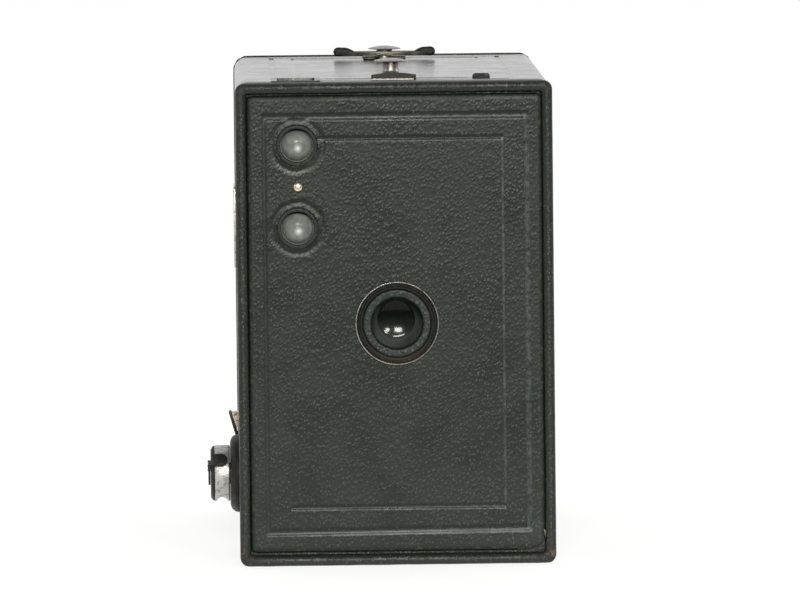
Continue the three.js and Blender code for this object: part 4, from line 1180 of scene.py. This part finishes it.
ROUNDED_NODES = [
    # CAD node, edge rounding, material, slot
    ("finder_frame_upper", 0.08, GLOSS_BLACK, "black_metal"),
    ("finder_frame_lower", 0.18, CREAM_METAL, "worn_nickel"),
    ("time_slide", 0.14, BLACK_METAL, "black_metal"),
    ("catch_plate", 0.12, TARNISHED, "worn_nickel"),
    ("catch_rivet_left", 0.08, NICKEL, "worn_nickel"),
    ("catch_rivet_right", 0.08, NICKEL, "worn_nickel"),
    ("hinge_leaf_body", 0.08, BLACK_METAL, "black_metal"),
    ("hinge_leaf_door", 0.08, BLACK_METAL, "black_metal"),
    ("winding_key", 0.14, KEY_NICKEL, "worn_nickel"),
    ("key_end_cap", 0.14, BLACK_METAL, "black_metal"),
    ("key_thumb_piece", 0.12, BLACK_METAL, "black_metal"),
    ("film_gate", 0.15, BLACK_METAL, "black_metal"),
    ("carrier_side_left", 0.25, WOOD, "wood"),
    ("carrier_side_right", 0.25, WOOD, "wood"),
    ("take_up_spool", 0.12, WOOD, "wood"),
    ("roller_top", 0.1, STEEL, "steel"),
    ("roller_bottom", 0.1, STEEL, "steel"),
    ("shutter_lever", 0.12, LEVER_METAL, "black_metal"),
    ("stop_slide", 0.10, STOP_PAINT, "black_metal"),
    ("latch_bar", 0.12, LATCH_METAL, "worn_nickel"),
]
# Where the two-toned ones show their second tone: the lever's web, the slide below its tab and the
# latch's middle.
BARE = {
    "shutter_lever": lambda p: 1.0 if -56.7 < p.y < -55.7 and p.x < -39 else 0.0,
    "stop_slide": lambda p: 1.0 if p.z < 120 else 0.0,
    "latch_bar": lambda p: max(0.0, min(1.0, (8.8 - abs(p.x)) / 0.8)),
}


def rounded_pieces():
    for node, width, material, slot in ROUNDED_NODES:
        piece = from_node(node, width)
        if node in BARE:
            paint(piece, "bare", BARE[node])
        finish_piece(piece, material, slot, node)


def key_flange():
    dome = [
        (3.15, 43), (10.8, 43), (10.8, 43.35), (10.7, 43.9), (10.4, 44.5), (9.9, 45.0), (9.2, 45.35),
        (8.4, 45.5), (7.4, 45.5), (6.6, 45.42), (6.25, 45.05), (6.2, 45.0), (3.15, 45.0),
    ]
    plate = lathe("key_flange", dome, "-x", (0, KEY_Y, KEY_Z), 96, 0.05)
    finish_piece(plate, BLACK_METAL, "black_metal", "key_escutcheon")


def bushes():
    """The thread shows as ridges round the bore."""
    thread = []
    for k in range(5):
        deep = -1.0 - 1.27 * k
        thread += [(3.175, deep), (3.5, deep - 0.6)]
    profile = [(3.4, 0), (7.6, 0), (8, -0.3), (8, -1), (5, -1), (5, -7.2), (3.3, -7.2)] + thread[::-1]
    for side, axis, at in (("bottom", "-z", (0, BUSH_Y, 0)), ("side", "x", (HALF, BUSH_Y, LENS_Z))):
        node = "tripod_bush_" + side
        finish_piece(lathe(node + "_threaded", profile, axis, at, 64), NICKEL, "worn_nickel", node)


# ---------------------------------------------------------------- back door
def door_mesh():
    """The covered door: a tooled face, rounded edges and corners, a little proud at the top and the left."""
    edge, proud = 0.8, 0.28
    x0, x1, z0, z1 = -HALF + edge, HALF - edge, 0.3 + edge, HEIGHT - edge
    width, height = x1 - x0, z1 - z0
    radius = CORNER - edge
    xs = [x0 + s for s in grid_places(0.0, width, both_ends(width, DOOR_LINES, edge), 3.0)]
    zs = [z0 + s for s in grid_places(0.0, height, both_ends(height, DOOR_LINES, edge), 3.0)]

    def face_y(x, z):
        depth = tooled_depth(x - x0 + edge, z - z0 + edge, width + 2 * edge, height + 2 * edge, DOOR_LINES)
        return BACK - 0.02 - depth - 0.04 * abs(noise.noise(Vector((x, 0, z)) * 0.06))

    def rounded_at(x, z):
        """Pulls a corner of the rectangle in to the rounded outline. Also gives the way outwards."""
        cx = min(max(x, x0 + radius), x1 - radius)
        cz = min(max(z, z0 + radius), z1 - radius)
        gap = Vector((x - cx, z - cz))
        if gap.length > radius and gap.x and gap.y:
            gap = gap.normalized() * radius
        return cx + gap.x, cz + gap.y, gap.normalized() if gap.length else Vector((0, 0))

    def place(x, z):
        px, pz, _ = rounded_at(x, z)
        return px, face_y(x, z), pz

    points, faces, loop = sheet(xs, zs, place)
    grid = [(x, z) for z in zs for x in xs]
    rings = []
    for degrees, back in ((30, None), (60, None), (90, None), (90, DOOR_FACE + 0.4), (0, DOOR_FACE)):
        a = math.radians(degrees)
        grow = edge * math.sin(a)
        ring = []
        for index in loop:
            x, z, out = rounded_at(*grid[index])
            y = back or points[index][1] - edge * (1 - math.cos(a))
            x += out.x * (grow + proud * (x < 0))
            ring.append((x, y, z + out.y * (grow + proud * (z > HEIGHT / 2))))
        rings.append(ring)
    close_back(points, faces, loop, rings)
    return mesh_object("door", points, faces, 60)


def back_door():
    door = door_mesh()
    tools = [
        plug("cut_red", 6.5, (-1, 5), "y", (0, DOOR_FACE, RED_Z), 72),
        block("cut_leaf", (-30.3, 30.3), (BACK - 0.6, BACK + 1), (-1, 3.2)),
        block("cut_under", (-30.31, 30.31), (DOOR_FACE - 1, BACK + 1.1), (-1.1, 0.95)),
    ]
    tools += [plug("cut_rivet", 0.85, (-2, 1), "y", (x, BACK, 124), 24) for x in (-3.5, 3.5)]
    cut(door, tools, 60)

    def tooling(p):
        if p.y <= BACK - 0.8:
            return 0.0
        return 1.0 if tooled_depth(p.x + HALF, p.z - 0.3, 2 * HALF, HEIGHT - 0.3, DOOR_LINES) else 0.0

    paint(door, "tooling", tooling)
    paint(door, "edge", lambda p: max(0.0, 1 - min(HALF - abs(p.x), p.z, HEIGHT - p.z) / 1.8))
    finish_piece(door, BOX_LEATHER, "leatherette", "back_door")


def red_window():
    eyelet = [
        (5, -2.3), (5, 0.2), (5.15, 0.42), (5.6, 0.5), (7.0, 0.5), (7.6, 0.38), (8, 0.05), (6.4, 0.05),
        (6.4, -2.3),
    ]
    ring = lathe("red_window_eyelet", eyelet, "y", (0, BACK, RED_Z), 96, 0.05)
    finish_piece(ring, BLACK_METAL, "black_metal", "window_eyelet")
    pane = [(0, 0.1), (6.4, 0.1), (6.4, 0.8), (3.0, 0.86), (0, 0.88)]
    window = lathe("red_window_pane", pane, "y", (0, DOOR_FACE, RED_Z), 72)
    finish_piece(window, CELLULOID, "red_celluloid", "red_window")


def recolour_cad_nodes():
    for obj in frame["nodes"].values():
        slot = obj.data.materials[0].name.split(".")[0] if obj.data.materials else "black_card"
        material = SLOT_MATERIALS[slot]
        for index in range(len(obj.data.materials)):
            obj.data.materials[index] = material


make_camera()
make_studio()
make_floor()
recolour_cad_nodes()
outer_box()
front_rim()
front_panel()
torn_corner()
worn_slot()
lens_bezel()
lens_surround()
front_lens()
for finder_side, finder_z in FINDER_ZS.items():
    finder_front(finder_side, finder_z)
panel_pin()
studs()
rounded_pieces()
key_flange()
back_door()
red_window()
bushes()

bpy.context.scene.view_settings.view_transform = "Standard"
